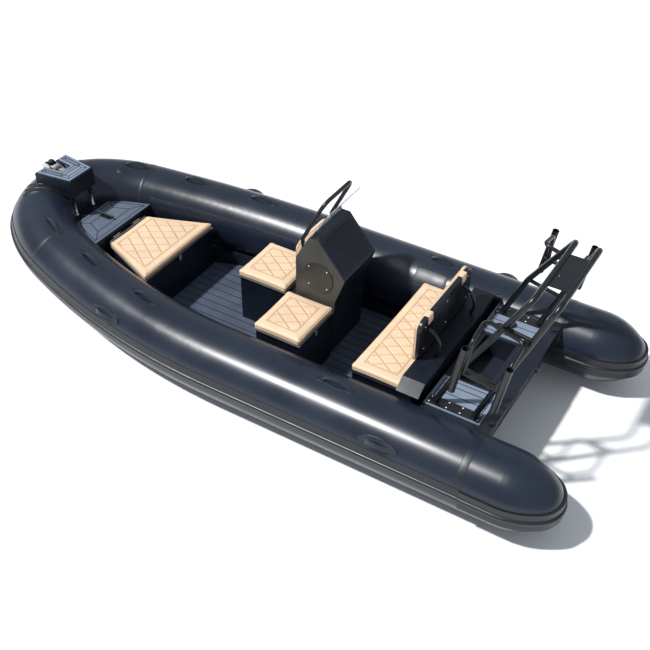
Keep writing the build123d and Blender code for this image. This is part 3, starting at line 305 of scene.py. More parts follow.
def solveTube(path):
    # Three arcs after the straight: shoulder, cheek and nose
    pitch, yaw, nose = (math.radians(path[key]) for key in ("pitch", "shoulderYaw", "noseYaw"))
    leaving = Vector((math.cos(pitch) * math.cos(yaw), -math.cos(pitch) * math.sin(yaw), math.sin(pitch)))
    turn = math.acos(leaving.x)
    radius = (path["bow"] - path["straight"]) * path["shoulderShare"] / math.sin(turn)
    bend = (leaving - Vector((math.cos(turn), 0, 0))).normalized()
    shoulder = Vector((path["transom"] + path["straight"], path["spacing"], path["height"]))
    cheek = shoulder + Vector((radius * math.sin(turn), 0, 0)) + bend * radius * (1 - math.cos(turn))
    planeYaw, slope = math.asin(-leaving.y), math.atan(leaving.z / leaving.x)
    ahead = Vector((math.cos(slope), 0, math.sin(slope)))
    reach = (path["transom"] + path["bow"] - cheek.x) / ahead.x
    asideCheek, asideNose = math.cos(planeYaw) - math.cos(nose), math.cos(nose)
    aheadCheek, aheadNose = math.sin(nose) - math.sin(planeYaw), 1 - math.sin(nose)
    spread = asideCheek * aheadNose - asideNose * aheadCheek
    cheekRadius = (cheek.y * aheadNose - asideNose * reach) / spread
    noseRadius = (asideCheek * reach - cheek.y * aheadCheek) / spread
    runs = [path["straight"], radius * turn, cheekRadius * (nose - planeYaw), noseRadius * (math.pi / 2 - nose)]
    return dict(radius=radius, bend=bend, shoulder=shoulder, cheek=cheek, planeYaw=planeYaw, nose=nose,
                ahead=ahead, cheekRadius=cheekRadius, noseRadius=noseRadius, runs=runs)


tubeSolved = solveTube(tubePath)


def tubeAxis(along):
    # Point on the port tube's axis and its direction
    t, path = tubeSolved, tubePath
    straight, shoulder, cheek = t["runs"][:3]
    if along <= straight:
        return Vector((path["transom"] + along, path["spacing"], path["height"])), bowAxis
    along -= straight
    if along <= shoulder:
        turn = along / t["radius"]
        place = t["shoulder"] + Vector((t["radius"] * math.sin(turn), 0, 0))
        place += t["bend"] * t["radius"] * (1 - math.cos(turn))
        return place, bowAxis * math.cos(turn) + t["bend"] * math.sin(turn)
    along -= shoulder
    cheekYaw = min(t["planeYaw"] + along / t["cheekRadius"], t["nose"])
    place = t["cheek"] + t["ahead"] * t["cheekRadius"] * (math.sin(cheekYaw) - math.sin(t["planeYaw"]))
    place.y -= t["cheekRadius"] * (math.cos(t["planeYaw"]) - math.cos(cheekYaw))
    yaw = cheekYaw
    if along > cheek:
        yaw = t["nose"] + (along - cheek) / t["noseRadius"]
        place += t["ahead"] * t["noseRadius"] * (math.sin(yaw) - math.sin(t["nose"]))
        place.y -= t["noseRadius"] * (math.cos(t["nose"]) - math.cos(yaw))
    return place, t["ahead"] * math.cos(yaw) - portAxis * math.sin(yaw)


def onTube(along, lean, lift, side):
    # lean is in degrees outboard from straight up, lift is above the tube's skin
    place, forward = tubeAxis(along)
    up = (upAxis - forward * forward.z).normalized()
    out = up * math.cos(math.radians(lean)) + up.cross(forward) * math.sin(math.radians(lean))
    return (place + out * (tubePath["radius"] + lift)) * Vector((1, side, 1))


# Pieces made in the script
def addPiece(name, mesh, paint, body="root", smooth=True):
    mesh.materials.clear()
    mesh.materials.append(paints[paint])
    mesh.polygons.foreach_set("use_smooth", [smooth] * len(mesh.polygons))
    piece = newObject(name, mesh)
    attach(piece, body)
    return piece


def meshFrom(form, name, turnOut=True):
    if turnOut:
        bmesh.ops.recalc_face_normals(form, faces=form.faces)
    mesh = bpy.data.meshes.new(name)
    form.to_mesh(mesh)
    form.free()
    return mesh


def addShell(name, grids, paint, body="root", smooth=True):
    # Each grid is (upper rows, lower rows) of points; the two are closed into one shell
    form = bmesh.new()
    for upper, lower in grids:
        tops = [[form.verts.new(p) for p in row] for row in upper]
        lows = [[form.verts.new(p) for p in row] for row in lower]
        rows, columns = len(tops), len(tops[0])
        for i in range(rows - 1):
            for j in range(columns - 1):
                form.faces.new((tops[i][j], tops[i][j + 1], tops[i + 1][j + 1], tops[i + 1][j]))
                form.faces.new((lows[i][j], lows[i + 1][j], lows[i + 1][j + 1], lows[i][j + 1]))
        rim = [(0, j) for j in range(columns)] + [(i, columns - 1) for i in range(1, rows)]
        rim += [(rows - 1, j) for j in range(columns - 2, -1, -1)] + [(i, 0) for i in range(rows - 2, 0, -1)]
        for (a, b), (c, d) in zip(rim, rim[1:] + rim[:1]):
            form.faces.new((tops[c][d], tops[a][b], lows[a][b], lows[c][d]))
    addPiece(name, meshFrom(form, name), paint, body, smooth)


plateMake = {
    "rows": 16,
    "columnPitch": 0.03,
    "columnsLeast": 8,
    "feather": 0.0025,
    "innerLeast": 0.5,
    "endLeast": 0.0004,
    "sunk": 0.002,
}
bandMake = {"steps": 72, "edge": 0.003}


def roundRows(half, wide, corner):
    # Rows across a plate with round corners: where each lies, and how far it reaches
    rows = []
    for i in range(plateMake["rows"] + 1):
        across = -math.cos(math.pi * i / plateMake["rows"]) * wide
        over = max(abs(across) - (wide - corner), 0) / corner
        rows.append((across, half - corner + corner * math.sqrt(max(1 - over * over, plateMake["endLeast"]))))
    return rows


def patchGrid(along, lean, length, width, lift, side, corner=None):
    # A patch on the skin with round ends or corners and a feathered edge, its rows across the tube
    half, wide = length / 2, width / 2
    columns = max(plateMake["columnsLeast"], int(length / plateMake["columnPitch"]))
    upper, lower = [], []
    for i, (across, reach) in enumerate(roundRows(half, wide, corner or min(half, wide))):
        turn = lean + math.degrees(across / tubePath["radius"])
        inner = max(reach - plateMake["feather"], reach * plateMake["innerLeast"])
        steps = [-reach] + [inner * (2 * j / columns - 1) for j in range(columns + 1)] + [reach]
        rises = [0] + [lift if 0 < i < plateMake["rows"] else 0] * (columns + 1) + [0]
        upper.append([onTube(along + step, turn, rise, side) for step, rise in zip(steps, rises)])
        lower.append([onTube(along + step, turn, -plateMake["sunk"], side) for step in steps])
    return upper, lower


def ringBand(along, length, lift, side, leans=(0, 360), crown=0.0):
    (start, end), steps = leans, bandMake["steps"]
    edge = min(bandMake["edge"], length / 4)
    columns = [-length / 2, -length / 2 + edge, 0, length / 2 - edge, length / 2]
    rises = [0, lift, lift + crown, lift, 0]
    turns = [start + (end - start) * i / steps for i in range(steps + 1)]
    upper = [[onTube(along + s, turn, rise, side) for s, rise in zip(columns, rises)] for turn in turns]
    lower = [[onTube(along + s, turn, -plateMake["sunk"], side) for s in columns] for turn in turns]
    return upper, lower


# Glued seams, patches and wear strips on the tubes
tubeTrim = {
    "lift": 0.0007,
    "bowSeam": 0.03,
    "coneSeam": dict(along=0.02, length=0.05, leans=(-95, 95)),
    "insideSeam": dict(lean=-62, width=0.03, corner=0.005),
    "insideShort": 0.2,
    "sidePatch": dict(along=0.972, lean=-46, length=0.24, width=0.16, corner=0.012),
    "straps": (0.95, 2.472, 3.042, 3.533),
    "strapEnds": (-0.1, 0.1),
    "strapPad": dict(lean=0, length=0.062, width=0.052, lift=0.0022, corner=0.012),
    "wearBack": 0.19,
    "wearBase": dict(length=0.13, lift=0.0012, leans=(-95, 35)),
    "wearRibs": (0.145, 0.19, 0.235),
    "wearRib": dict(length=0.016, lift=0.0015, leans=(-95, 35), crown=0.0035),
}


def makeTubeTrim(trim):
    runs, lift = tubeSolved["runs"], trim["lift"]
    cheekStart, total = runs[0] + runs[1], sum(runs)
    bands, pads, guards = [], [], []
    for side in (1, -1):
        bands.append(ringBand(cheekStart, trim["bowSeam"], lift, side))
        bands.append(ringBand(lift=lift, side=side, **trim["coneSeam"]))
        length = cheekStart - trim["insideShort"]
        bands.append(patchGrid(cheekStart / 2, length=length, lift=lift, side=side, **trim["insideSeam"]))
        for middle in trim["straps"]:
            pads += [patchGrid(middle + end, side=side, **trim["strapPad"]) for end in trim["strapEnds"]]
        guards.append(ringBand(total - trim["wearBack"], side=side, **trim["wearBase"]))
        guards += [ringBand(total - back, side=side, **trim["wearRib"]) for back in trim["wearRibs"]]
    bands.append(patchGrid(lift=lift, side=-1, **trim["sidePatch"]))
    addShell("tubeSeams", bands, "tubePatch")
    addShell("strapPads", pads, "railRubber")
    addShell("wearStrips", guards, "railRubber")


makeTubeTrim(tubeTrim)
print("tube trim made")

# Repeats: small parts set out by Geometry Nodes on points that carry their own turn
spreadInputs = {"Geometry": "Geometry", "Length": "Float", "Width": "Float", "Height": "Float", "Paint": "Material"}
seedForms = {
    "screw": ("GeometryNodeMeshUVSphere", {"Segments": 14, "Rings": 8, "Radius": 0.5}),
    "stitch": ("GeometryNodeMeshIcoSphere", {"Subdivisions": 1, "Radius": 0.5}),
}


def spreadTree(form):
    tree = bpy.data.node_groups.new(form + "Spread", "GeometryNodeTree")
    for label, kind in spreadInputs.items():
        tree.interface.new_socket(label, in_out="INPUT", socket_type="NodeSocket" + kind)
    tree.interface.new_socket("Geometry", in_out="OUTPUT", socket_type="NodeSocketGeometry")
    given = addNode(tree, "NodeGroupInput", {}).outputs
    size = addNode(tree, "ShaderNodeCombineXYZ", {0: given["Length"], 1: given["Width"], 2: given["Height"]})
    seed = addNode(tree, *seedForms[form])
    shape = addNode(tree, "GeometryNodeTransform", {"Geometry": seed.outputs["Mesh"], "Scale": size.outputs["Vector"]})
    turn = addNode(tree, "GeometryNodeInputNamedAttribute", {"Name": "turn"}, data_type="FLOAT_VECTOR")
    euler = addNode(tree, "FunctionNodeEulerToRotation", {"Euler": turn.outputs["Attribute"]})
    spread = addNode(tree, "GeometryNodeInstanceOnPoints", {
        "Points": given["Geometry"], "Instance": shape.outputs["Geometry"], "Rotation": euler.outputs["Rotation"]})
    real = addNode(tree, "GeometryNodeRealizeInstances", {"Geometry": spread.outputs["Instances"]})
    coat = addNode(tree, "GeometryNodeSetMaterial", {"Geometry": real.outputs["Geometry"], "Material": given["Paint"]})
    addNode(tree, "NodeGroupOutput", {"Geometry": coat.outputs["Geometry"]})
    return tree


spreadTrees = {form: spreadTree(form) for form in seedForms}


def spreadParts(name, form, places, size, paint, body="root"):
    # places: (point, direction along, normal); size: length, width, height
    mesh = bpy.data.meshes.new(name + "Points")
    mesh.from_pydata([tuple(point) for point, along, normal in places], [], [])
    turns = mesh.attributes.new("turn", "FLOAT_VECTOR", "POINT")
    for index, (point, along, normal) in enumerate(places):
        z = normal.normalized()
        x = (along - z * along.dot(z)).normalized()
        turns.data[index].vector = Matrix((x, z.cross(x), z)).transposed().to_euler("XYZ")
    carrier = newObject(name + "Points", mesh)
    modifier = carrier.modifiers.new("spread", "NODES")
    modifier.node_group = spreadTrees[form]
    sockets = {item.name: item.identifier for item in spreadTrees[form].interface.items_tree if item.in_out == "INPUT"}
    for label, value in zip(("Length", "Width", "Height", "Paint"), (*size, paints[paint])):
        modifier[sockets[label]] = value
    bpy.context.view_layer.update()
    solid = bpy.data.meshes.new_from_object(carrier.evaluated_get(bpy.context.evaluated_depsgraph_get()))
    bpy.data.objects.remove(carrier)
    solid.name = name
    addPiece(name, solid, paint, body)


# Cushions: a rounded closed form is blown up as cloth, then gets its seams, channels, piping and stitches
cushionMake = {
    "spacing": 0.0125,
    "layers": 4,
    "under": 0.004,
    "pullIn": 0.005,
    "pressure": 4.0,
    "stiffness": 18,
    "quality": 4,
    "frames": 20,
    "heldBelow": 0.0075,
    "cap": 0.009,
    "sideGap": 0.001,
    "quickCrown": (0.008, 0.4),
    "levels": 2,
    "faceFrom": 0.72,
    "faceRise": 0.3,
    "panelInset": 0.064,
    "diamondSlope": 33,
    "diamondPitch": 0.082,
    "diamondFade": 0.012,
    "diamondShares": (1.0, 0.85),
    "channelWidth": 0.0046,
    "channelDepth": 0.0055,
    "seamDepth": 0.003,
    # how dark the painted shade in the seams and channels is
    "creaseShade": 0.85,
    "stitchPitch": 0.008,
    "stitchGap": 0.006,
    "stitchCorner": 0.012,
    "stitchSize": (0.0052, 0.0011, 0.0011),
    "probeFrom": 0.1,
    "probeStep": 0.002,
    "pipingRadius": 0.0026,
    "pipingSides": 6,
    "pipingPitch": 0.008,
    "pipingDrop": 0.55,
    "pipingProud": 0.4,
    "pipingOut": 0.01,
    "pipingCorner": 0.02,
    "baseFacing": -0.98,
    "baseBelow": 0.008,
    "fill": 0.7,
}
# axes: first and second lie in the face, third is the way out of it
seatForm = dict(axes=(0, 1, 2), corner=0.018, edge=0.016, base=0.006, inset=1)
backForm = dict(axes=(1, 2, 0), inset=0.8)
cushions = {
    "bench_cushion": dict(seatForm, body="bench"),
    "front_cushion": dict(seatForm, body="front_lid"),
    "side_cushion": dict(seatForm, body="side_lid"),
    "bow_cushion": dict(seatForm, body="bow_lid", taper=(0.4, 0.206)),
    "backrest_cushion": dict(backForm, body="bench", corner=0.06, edge=0.012, base=0.004, top=0.87, depth=0.031),
    "front_backrest": dict(backForm, body="root", corner=0.03, edge=0.014, base=0.005, top=0.8455, depth=0.055),
}
consoleSlope = {  # the console's front, as reach and height, which the front backrest follows
    "floor": (1.7, 0.02),
    "brow": (1.69, 0.744),
    "cowl": (1.584, 0.932),
    "browBlend": 0.04,
    "restGap": 0.0005,
}


def frontRest(height, lift):
    # X and Z of a point that far up the console's front, lifted off it; the way out turns softly at the brow
    (x0, z0), (x1, z1), (x2, z2) = (consoleSlope[key] for key in ("floor", "brow", "cowl"))
    under, over = Vector((z1 - z0, x0 - x1)).normalized(), Vector((z2 - z1, x1 - x2)).normalized()
    x = x0 + (x1 - x0) * (height - z0) / (z1 - z0)
    if height > z1:
        x = x1 + (x2 - x1) * (height - z1) / (z2 - z1)
    blend = consoleSlope["browBlend"]
    share = min(max((height - z1 + blend) / (2 * blend), 0), 1)
    out = under.lerp(over, share * share * (3 - 2 * share))
    return tubePath["transom"] + x + out.x * lift, height + out.y * lift


def roundedPoint(seat, shares):
    half, top, corner = seat["half"], seat["top"], seat["corner"]
    a, b, c = shares[0] * half[0], shares[1] * half[1], shares[2] * top
    rim = min(half[0] - abs(a), half[1] - abs(b))
    over = Vector((max(abs(a) - half[0] + corner, 0), max(abs(b) - half[1] + corner, 0)))
    if over.x > 0 and over.y > 0:
        over *= max(over) / over.length
        a = math.copysign(half[0] - corner + over.x, a)
        b = math.copysign(half[1] - corner + over.y, b)
        rim = corner - over.length
    # roll the rim: the nearer to the edge, the lower
    upper = c > top / 2
    radius = seat["edge"] if upper else seat["base"]
    rise = c - top + radius if upper else radius - c
    if rim < radius and rise > 0:
        pull = Vector((radius - rim, rise))
        pull *= max(pull) / pull.length
        shift = radius - rim - pull.x
        a, b = a * (1 - shift / half[0]), b * (1 - shift / half[1])
        c = top - radius + pull.y if upper else radius - pull.y
    pullIn = cushionMake["pullIn"]
    drawnA = 1 - pullIn / half[0] * (1 - (b / half[1]) ** 2)
    drawnB = 1 - pullIn / half[1] * (1 - (a / half[0]) ** 2)
    return a * drawnA, b * drawnB, c


def startCushion(name, row):
    # A closed lattice in the cushion's own (a, b, c) box
    make = cushionMake
    low, high = (Vector(corner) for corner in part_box(name))
    high.z = row.get("top", high.z)
    if "depth" in row:
        low.x = high.x - row["depth"]
    size = [high[axis] - low[axis] for axis in row["axes"]]
    half = [length / 2 - make["under"] for length in size[:2]]
    seat = dict(row, name=name, low=low, high=high, size=size, half=half, top=size[2] - make["under"])
    nx, ny = (max(3, round(length / make["spacing"])) for length in size[:2])
    nz = make["layers"]
    form = bmesh.new()
    points = {}

    def vertex(i, j, k):
        if (i, j, k) not in points:
            points[i, j, k] = form.verts.new(roundedPoint(seat, (2 * i / nx - 1, 2 * j / ny - 1, k / nz)))
        return points[i, j, k]

    def quad(*corners):
        form.faces.new([vertex(*corner) for corner in corners])

    for i in range(nx):
        for j in range(ny):
            quad((i, j, nz), (i + 1, j, nz), (i + 1, j + 1, nz), (i, j + 1, nz))
            quad((i, j, 0), (i, j + 1, 0), (i + 1, j + 1, 0), (i + 1, j, 0))
    for k in range(nz):
        for i in range(nx):
            quad((i, 0, k), (i + 1, 0, k), (i + 1, 0, k + 1), (i, 0, k + 1))
            quad((i, ny, k), (i, ny, k + 1), (i + 1, ny, k + 1), (i + 1, ny, k))
        for j in range(ny):
            quad((0, j, k), (0, j, k + 1), (0, j + 1, k + 1), (0, j + 1, k))
            quad((nx, j, k), (nx, j + 1, k), (nx, j + 1, k + 1), (nx, j, k + 1))
    seat["piece"] = newObject(name + "Cover", meshFrom(form, name + "Soft", turnOut=False))
    return seat


def toFrame(seat, point):
    # From the cushion's own (a, b, c) to the boat
    low, middle = seat["low"], (seat["low"] + seat["high"]) / 2
    a, b, c = point
    if seat["name"] == "front_backrest":
        x, z = frontRest(middle.z + b, c + consoleSlope["restGap"])
        return Vector((x, middle.y + a, z))
    if seat["axes"][2] == 0:
        return Vector((low.x + c, middle.y + a, middle.z + b))
    if "taper" in seat:
        aft, fore = seat["taper"]
        share = (a + seat["size"][0] / 2) / seat["size"][0]
        b *= (aft + (fore - aft) * share) / aft
    return Vector((middle.x + a, middle.y + b, low.z + c))


def blowUp(seats):
    # All cushions are stepped together; each keeps its base and no point goes past the cap
    make = cushionMake
    for seat in seats:
        held = seat["piece"].vertex_groups.new(name="held")
        low = [vertex.index for vertex in seat["piece"].data.vertices if vertex.co.z < make["heldBelow"]]
        held.add(low, 1.0, "REPLACE")
        cloth = seat["piece"].modifiers.new("cloth", "CLOTH")
        cloth.settings.use_pressure = True
        cloth.settings.uniform_pressure_force = make["pressure"]
        cloth.settings.effector_weights.gravity = 0
        cloth.settings.vertex_group_mass = "held"
        cloth.settings.tension_stiffness = cloth.settings.compression_stiffness = make["stiffness"]
        cloth.settings.quality = make["quality"]
        cloth.point_cache.frame_start, cloth.point_cache.frame_end = 1, make["frames"]
    for frameNumber in range(1, make["frames"] + 1):
        scene.frame_set(frameNumber)
    graph = bpy.context.evaluated_depsgraph_get()
    for seat in seats:
        piece = seat["piece"]
        blown = piece.evaluated_get(graph).to_mesh()
        moves = [end.co - start.co for start, end in zip(piece.data.vertices, blown.vertices)]
        piece.evaluated_get(graph).to_mesh_clear()
        piece.modifiers.clear()
        piece.vertex_groups.clear()
        most = max(move.length for move in moves)
        share = min(make["cap"] / most, 1)
        print(seat["name"], "swelled", round(most * 1000, 1), "mm, kept", round(most * share * 1000, 1))
        sides = [length / 2 - make["sideGap"] for length in seat["size"][:2]]
        for vertex, move in zip(piece.data.vertices, moves):
            a, b, c = vertex.co + move * share
            vertex.co = max(-sides[0], min(a, sides[0])), max(-sides[1], min(b, sides[1])), c
    scene.frame_set(1)


def crown(seats):
    rise, power = cushionMake["quickCrown"]
    for seat in seats:
        half = seat["half"]
        for vertex in seat["piece"].data.vertices:
            a, b, c = vertex.co
            bulge = max(1 - (a / half[0]) ** 2, 0) * max(1 - (b / half[1]) ** 2, 0)
            vertex.co.z += rise * bulge ** power * c / seat["top"]


def quilt(seat, mesh):
    # Sinks the seams and channels of the face and stores painted shade for them in an attribute that darkens the cover
    # there
    make = cushionMake
    half, slope = seat["half"], math.radians(make["diamondSlope"])
    inset = make["panelInset"] * seat["inset"]
    along = ((math.sin(slope), math.cos(slope)), (-math.sin(slope), math.cos(slope)))
    values = []
    rises = [normal.vector.z for normal in mesh.vertex_normals]
    for vertex, rise in zip(mesh.vertices, rises):
        a, b, c = vertex.co
        sink, shade = 0.0, 0.0
        if c > seat["top"] * make["faceFrom"] and rise > make["faceRise"]:
            edgeA, edgeB = half[0] - inset - abs(a), half[1] - inset - abs(b)
            near = min(edgeA, edgeB)
            gap = math.hypot(min(edgeA, 0), min(edgeB, 0)) if near < 0 else near
            shade = math.exp(-((gap / make["channelWidth"]) ** 2))
            sink = make["seamDepth"] * shade
            if near > 0:
                flatB = toFrame(seat, vertex.co).y if "taper" in seat else b
                for (u, v), strength in zip(along, make["diamondShares"]):
                    reach = (a * u + flatB * v) / make["diamondPitch"]
                    off = abs(reach - round(reach)) * make["diamondPitch"]
                    line = math.exp(-((off / make["channelWidth"]) ** 2)) * strength
                    line *= min(near / make["diamondFade"], 1)
                    sink = max(sink, make["channelDepth"] * line)
                    shade = max(shade, line)
        vertex.co.z -= sink
        # painted shade for this point, strongest in the seams and channels
        values.append(shade * make["creaseShade"])
    mesh.attributes.new("paintedCreaseShade", "FLOAT", "POINT").data.foreach_set("value", values)


def loopPoints(halfA, halfB, corner, pitch, bends=8):
    # Evenly spaced points round a rounded rectangle, with their directions
    path = []
    for (signA, signB), start in (((1, 1), 0), ((-1, 1), 90), ((-1, -1), 180), ((1, -1), 270)):
        for step in range(bends + 1):
            turn = math.radians(start + step * 90 / bends)
            path.append(Vector((signA * (halfA - corner) + corner * math.cos(turn),
                                signB * (halfB - corner) + corner * math.sin(turn))))
    spots, left = [], 0.0
    for first, second in zip(path, path[1:] + path[:1]):
        step = (second - first).length
        while left < step:
            spots.append((first.lerp(second, left / step), (second - first).normalized().to_3d()))
            left += pitch
        left -= step
    return spots


def pipingMesh(seat, tree):
    # A round cord sewn along the upper rim
    make = cushionMake
    half, radius, sides = seat["half"], make["pipingRadius"], make["pipingSides"]
    level = seat["top"] - seat["edge"] * make["pipingDrop"]
    form = bmesh.new()
    loops = []
    out, corner = make["pipingOut"], max(seat["corner"], make["pipingCorner"])
    for spot, along in loopPoints(half[0] + out, half[1] + out, corner, make["pipingPitch"]):
        point, normal = tree.find_nearest(Vector((spot.x, spot.y, level)))[:2]
        side = normal.cross(along).normalized()
        loops.append([])
        for step in range(sides):
            turn = 2 * math.pi * step / sides
            reach = normal * (radius * (math.cos(turn) + make["pipingProud"])) + side * radius * math.sin(turn)
            loops[-1].append(form.verts.new(toFrame(seat, point + reach)))
    for first, second in zip(loops, loops[1:] + loops[:1]):
        for step in range(sides):
            form.faces.new((first[step], first[step - 1], second[step - 1], second[step]))
    return meshFrom(form, seat["name"] + "Piping")


def stitchPlaces(seat, tree):
    # Two rows, one each side of the panel's seam
    make = cushionMake
    half, step = seat["half"], make["probeStep"]
    places = []
    for side in (-1, 1):
        gap = make["panelInset"] * seat["inset"] + side * make["stitchGap"]
        for spot, along in loopPoints(half[0] - gap, half[1] - gap, make["stitchCorner"], make["stitchPitch"]):
            over = Vector((spot.x, spot.y, seat["top"]))
            hit = tree.ray_cast(over + upAxis * make["probeFrom"], -upAxis)
            point, normal = (hit[0], hit[1]) if hit[0] else (over, upAxis)
            start = toFrame(seat, point)
            line = toFrame(seat, point + along * step) - start
            places.append((start, line, toFrame(seat, point + normal * step) - start))
    return places


def finishCushion(seat):
    name, piece, body, make = seat["name"], seat["piece"], seat["body"], cushionMake
    form = bmesh.new()
    form.from_mesh(piece.data)
    bmesh.ops.recalc_face_normals(form, faces=form.faces)
    form.to_mesh(piece.data)
    form.free()
    finer = piece.modifiers.new("finer", "SUBSURF")
    finer.levels = finer.render_levels = make["levels"]
    bpy.context.view_layer.update()
    mesh = bpy.data.meshes.new_from_object(piece.evaluated_get(bpy.context.evaluated_depsgraph_get()))
    bpy.data.objects.remove(piece)
    quilt(seat, mesh)
    form = bmesh.new()
    form.from_mesh(mesh)
    flat = [face for face in form.faces if face.normal.z < make["baseFacing"]
            and face.calc_center_median().z < make["baseBelow"]]
    bmesh.ops.delete(form, geom=flat, context="FACES")  # the flat base becomes one face
    bmesh.ops.holes_fill(form, edges=[edge for edge in form.edges if edge.is_boundary], sides=0)
    form.normal_update()
    tree = BVHTree.FromBMesh(form)
    stitches, piping = stitchPlaces(seat, tree), pipingMesh(seat, tree)
    for vertex in form.verts:
        vertex.co = toFrame(seat, vertex.co)
    bmesh.ops.recalc_face_normals(form, faces=form.faces)
    form.to_mesh(mesh)
    form.free()
    mesh.name = name + "Cover"
    cover = addPiece(name + "Cover", mesh, "seatCover", body)
    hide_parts(name)
    addPiece(name + "Piping", piping, "seatCover", body)
    spreadParts(name + "Stitches", "stitch", stitches, make["stitchSize"], "thread", body)


seats = [startCushion(name, row) for name, row in cushions.items()]
blowUp(seats)
print("cushions blown up")
for seat in seats:
    finishCushion(seat)
print("cushions quilted")

# Straps that fold over the backrest's board
backTabs = {
    "places": (-0.235, 0.235),
    "half": 0.031,
    "thick": 0.003,
    "back": -1.2012,
    "top": 0.862,
    "over": 0.0345,
    "drop": 0.06,
    "fold": 0.004,
    "bend": 0.001,
    "endRound": 0.012,
}


def makeBackTabs(tabs):
    back, top, fold, thick = tabs["back"], tabs["top"], tabs["fold"], tabs["thick"]
    over = back + tabs["over"]
    line = [(over + fold, top - fold), (over - fold, top), (back + fold, top),
            (back + tabs["bend"], top - tabs["bend"]), (back, top - fold), (back, top - tabs["drop"])]
    shares = ((1, 1 / 3), (0, 1), (0, 1), (-0.7, 0.7), (-1, 0), (-1, 0))
    outer = [(x + thick * outX, z + thick * outZ) for (x, z), (outX, outZ) in zip(line, shares)]
    grids = []
    for middle in tabs["places"]:
        rises = {share: upAxis * tabs["endRound"] * (abs(share) == 1) for share in (-1, -0.93, 0, 0.93, 1)}
        grid = []
        for points in (outer, line):
            rows = [[Vector((x, middle + tabs["half"] * share, z)) for share in rises] for x, z in points]
            rows[-1] = [point + rise for point, rise in zip(rows[-1], rises.values())]
            grid.append(rows)
        grids.append(grid)
    addShell("backTabs", grids, "seatCover", "bench")


makeBackTabs(backTabs)
print("straps made")


# Flat plates, inlaid lines and screws
def plateGrid(origin, u, v, size, lift, depth, corner):
    # A flat plate with round corners about origin, standing lift proud of it
    out = u.cross(v).normalized()
    upper, lower = [], []
    for across, reach in roundRows(size[0] / 2, size[1] / 2, corner):
        line = [origin + v * across + u * reach * share for share in (-1, -0.5, 0, 0.5, 1)]
        upper.append([point + out * lift for point in line])
        lower.append([point - out * depth for point in line])
    return upper, lower


def stripGrid(start, end, width, up, lift):
    side = up.cross(end - start).normalized() * width / 2
    depth = plateMake["sunk"]
    upper = [[point + side + up * lift, point - side + up * lift] for point in (start, end)]
    lower = [[point + side - up * depth, point - side - up * depth] for point in (start, end)]
    return upper, lower


def insetLoop(loop, inset, sharpest=0.3):
    # The loop runs anticlockwise
    moved = []
    for before, point, after in zip(loop[-1:] + loop[:-1], loop, loop[1:] + loop[:1]):
        first, second = (point - before).normalized(), (after - point).normalized()
        inward = Vector((-first.y - second.y, first.x + second.x)).normalized()
        moved.append(point + inward * inset / max(inward.dot(Vector((-first.y, first.x))), sharpest))
    return moved


def loopStrips(loop, inset, width, level, lift):
    outer, inner = insetLoop(loop, inset), insetLoop(loop, inset + width)
    grids = []
    for a, b, c, d in zip(outer, outer[1:] + outer[:1], inner, inner[1:] + inner[:1]):
        upper = [[Vector((*point, level + lift)) for point in pair] for pair in ((a, b), (c, d))]
        lower = [[point - upAxis * (lift + plateMake["sunk"]) for point in row] for row in upper]
        grids.append((upper, lower))
    return grids


padLines = {
    "border": 0.022,
    "width": 0.006,
    "lift": 0.0006,
    "sternTop": 0.465,
    "sternReach": (0.083, 0.45),
    "sternPort": (0.262, 0.548),
    "sternPlanks": (0.072, 0.144, 0.216),
    "bowTop": 0.432,
    "bowReach": (3.25, 3.548),
    "bowHalf": (0.318, 0.2),
    "bowNested": 0.085,
    "bowSteps": 8,
    "stepTop": 0.745,
    "step": ((3.617, 0.113), (3.903, 0.153), (3.903, 0.0708), (3.753, 0.054)),
    "stepBorder": 0.0176,
    "stepNested": 0.045,
    "stepShare": 0.45,
}


def tubeInside(reach, height, halvings=30, steepest=0.3):
    # Half width between the tubes at that reach and height
    low, high = 0.0, sum(tubeSolved["runs"])
    for attempt in range(halvings):
        middle = (low + high) / 2
        if tubeAxis(middle)[0].x < tubePath["transom"] + reach:
            low = middle
        else:
            high = middle
    axis, forward = tubeAxis(low)
    chord = math.sqrt(max(tubePath["radius"] ** 2 - (height - axis.z) ** 2, 0))
    return axis.y - chord / max(forward.x, steepest)


def bothSides(half):
    return [Vector((point.x, -point.y)) for point in half] + half[::-1]


def makePadLines(lines):
    base, border, width, lift = tubePath["transom"], lines["border"], lines["width"], lines["lift"]

    def ray(start, end, level):
        return stripGrid(Vector((*start, level)), Vector((*end, level)), width, upAxis, lift)

    grids = []
    aft, fore = (base + reach for reach in lines["sternReach"])
    near, far = lines["sternPort"]
    level = lines["sternTop"]
    for side in (1, -1):
        loop = [Vector((x, y * side)) for x, y in ((aft, near), (fore, near), (fore, far), (aft, far))]
        grids += loopStrips(loop[::side], border, width, level, lift)
        for plank in lines["sternPlanks"]:
            grids.append(ray((aft + border, (near + plank) * side), (fore - border, (near + plank) * side), level))
    level, steps = lines["bowTop"], lines["bowSteps"]
    (start, end), (wide, narrow) = lines["bowReach"], lines["bowHalf"]
    half = []
    for step in range(steps + 1):
        reach = start + (end - start) * step / steps
        plan = wide + (narrow - wide) * step / steps
        half.append(Vector((base + reach, min(plan, tubeInside(reach, level)))))
    loop = bothSides(half)
    grids += loopStrips(loop, border, width, level, lift)
    corners = [loop[0], loop[steps], loop[steps + 1], loop[-1]]
    grids += loopStrips(corners, lines["bowNested"], width, level, lift)
    grids += [ray(*ends, level) for ends in zip(insetLoop(corners, border), insetLoop(corners, lines["bowNested"]))]
    level = lines["stepTop"]
    loop = bothSides([Vector((base + reach, port)) for reach, port in lines["step"]])
    inner = insetLoop(loop, lines["stepNested"])
    grids += loopStrips(loop, lines["stepBorder"], width, level, lift)
    grids += [ray(corner.lerp(spot, lines["stepShare"]), spot, level) for corner, spot in zip(loop, inner)]
    grids += loopStrips(loop, lines["stepNested"], width, level, lift)
    addShell("padLines", grids, "lineFoam", smooth=False)


makePadLines(padLines)
print("pad lines laid")

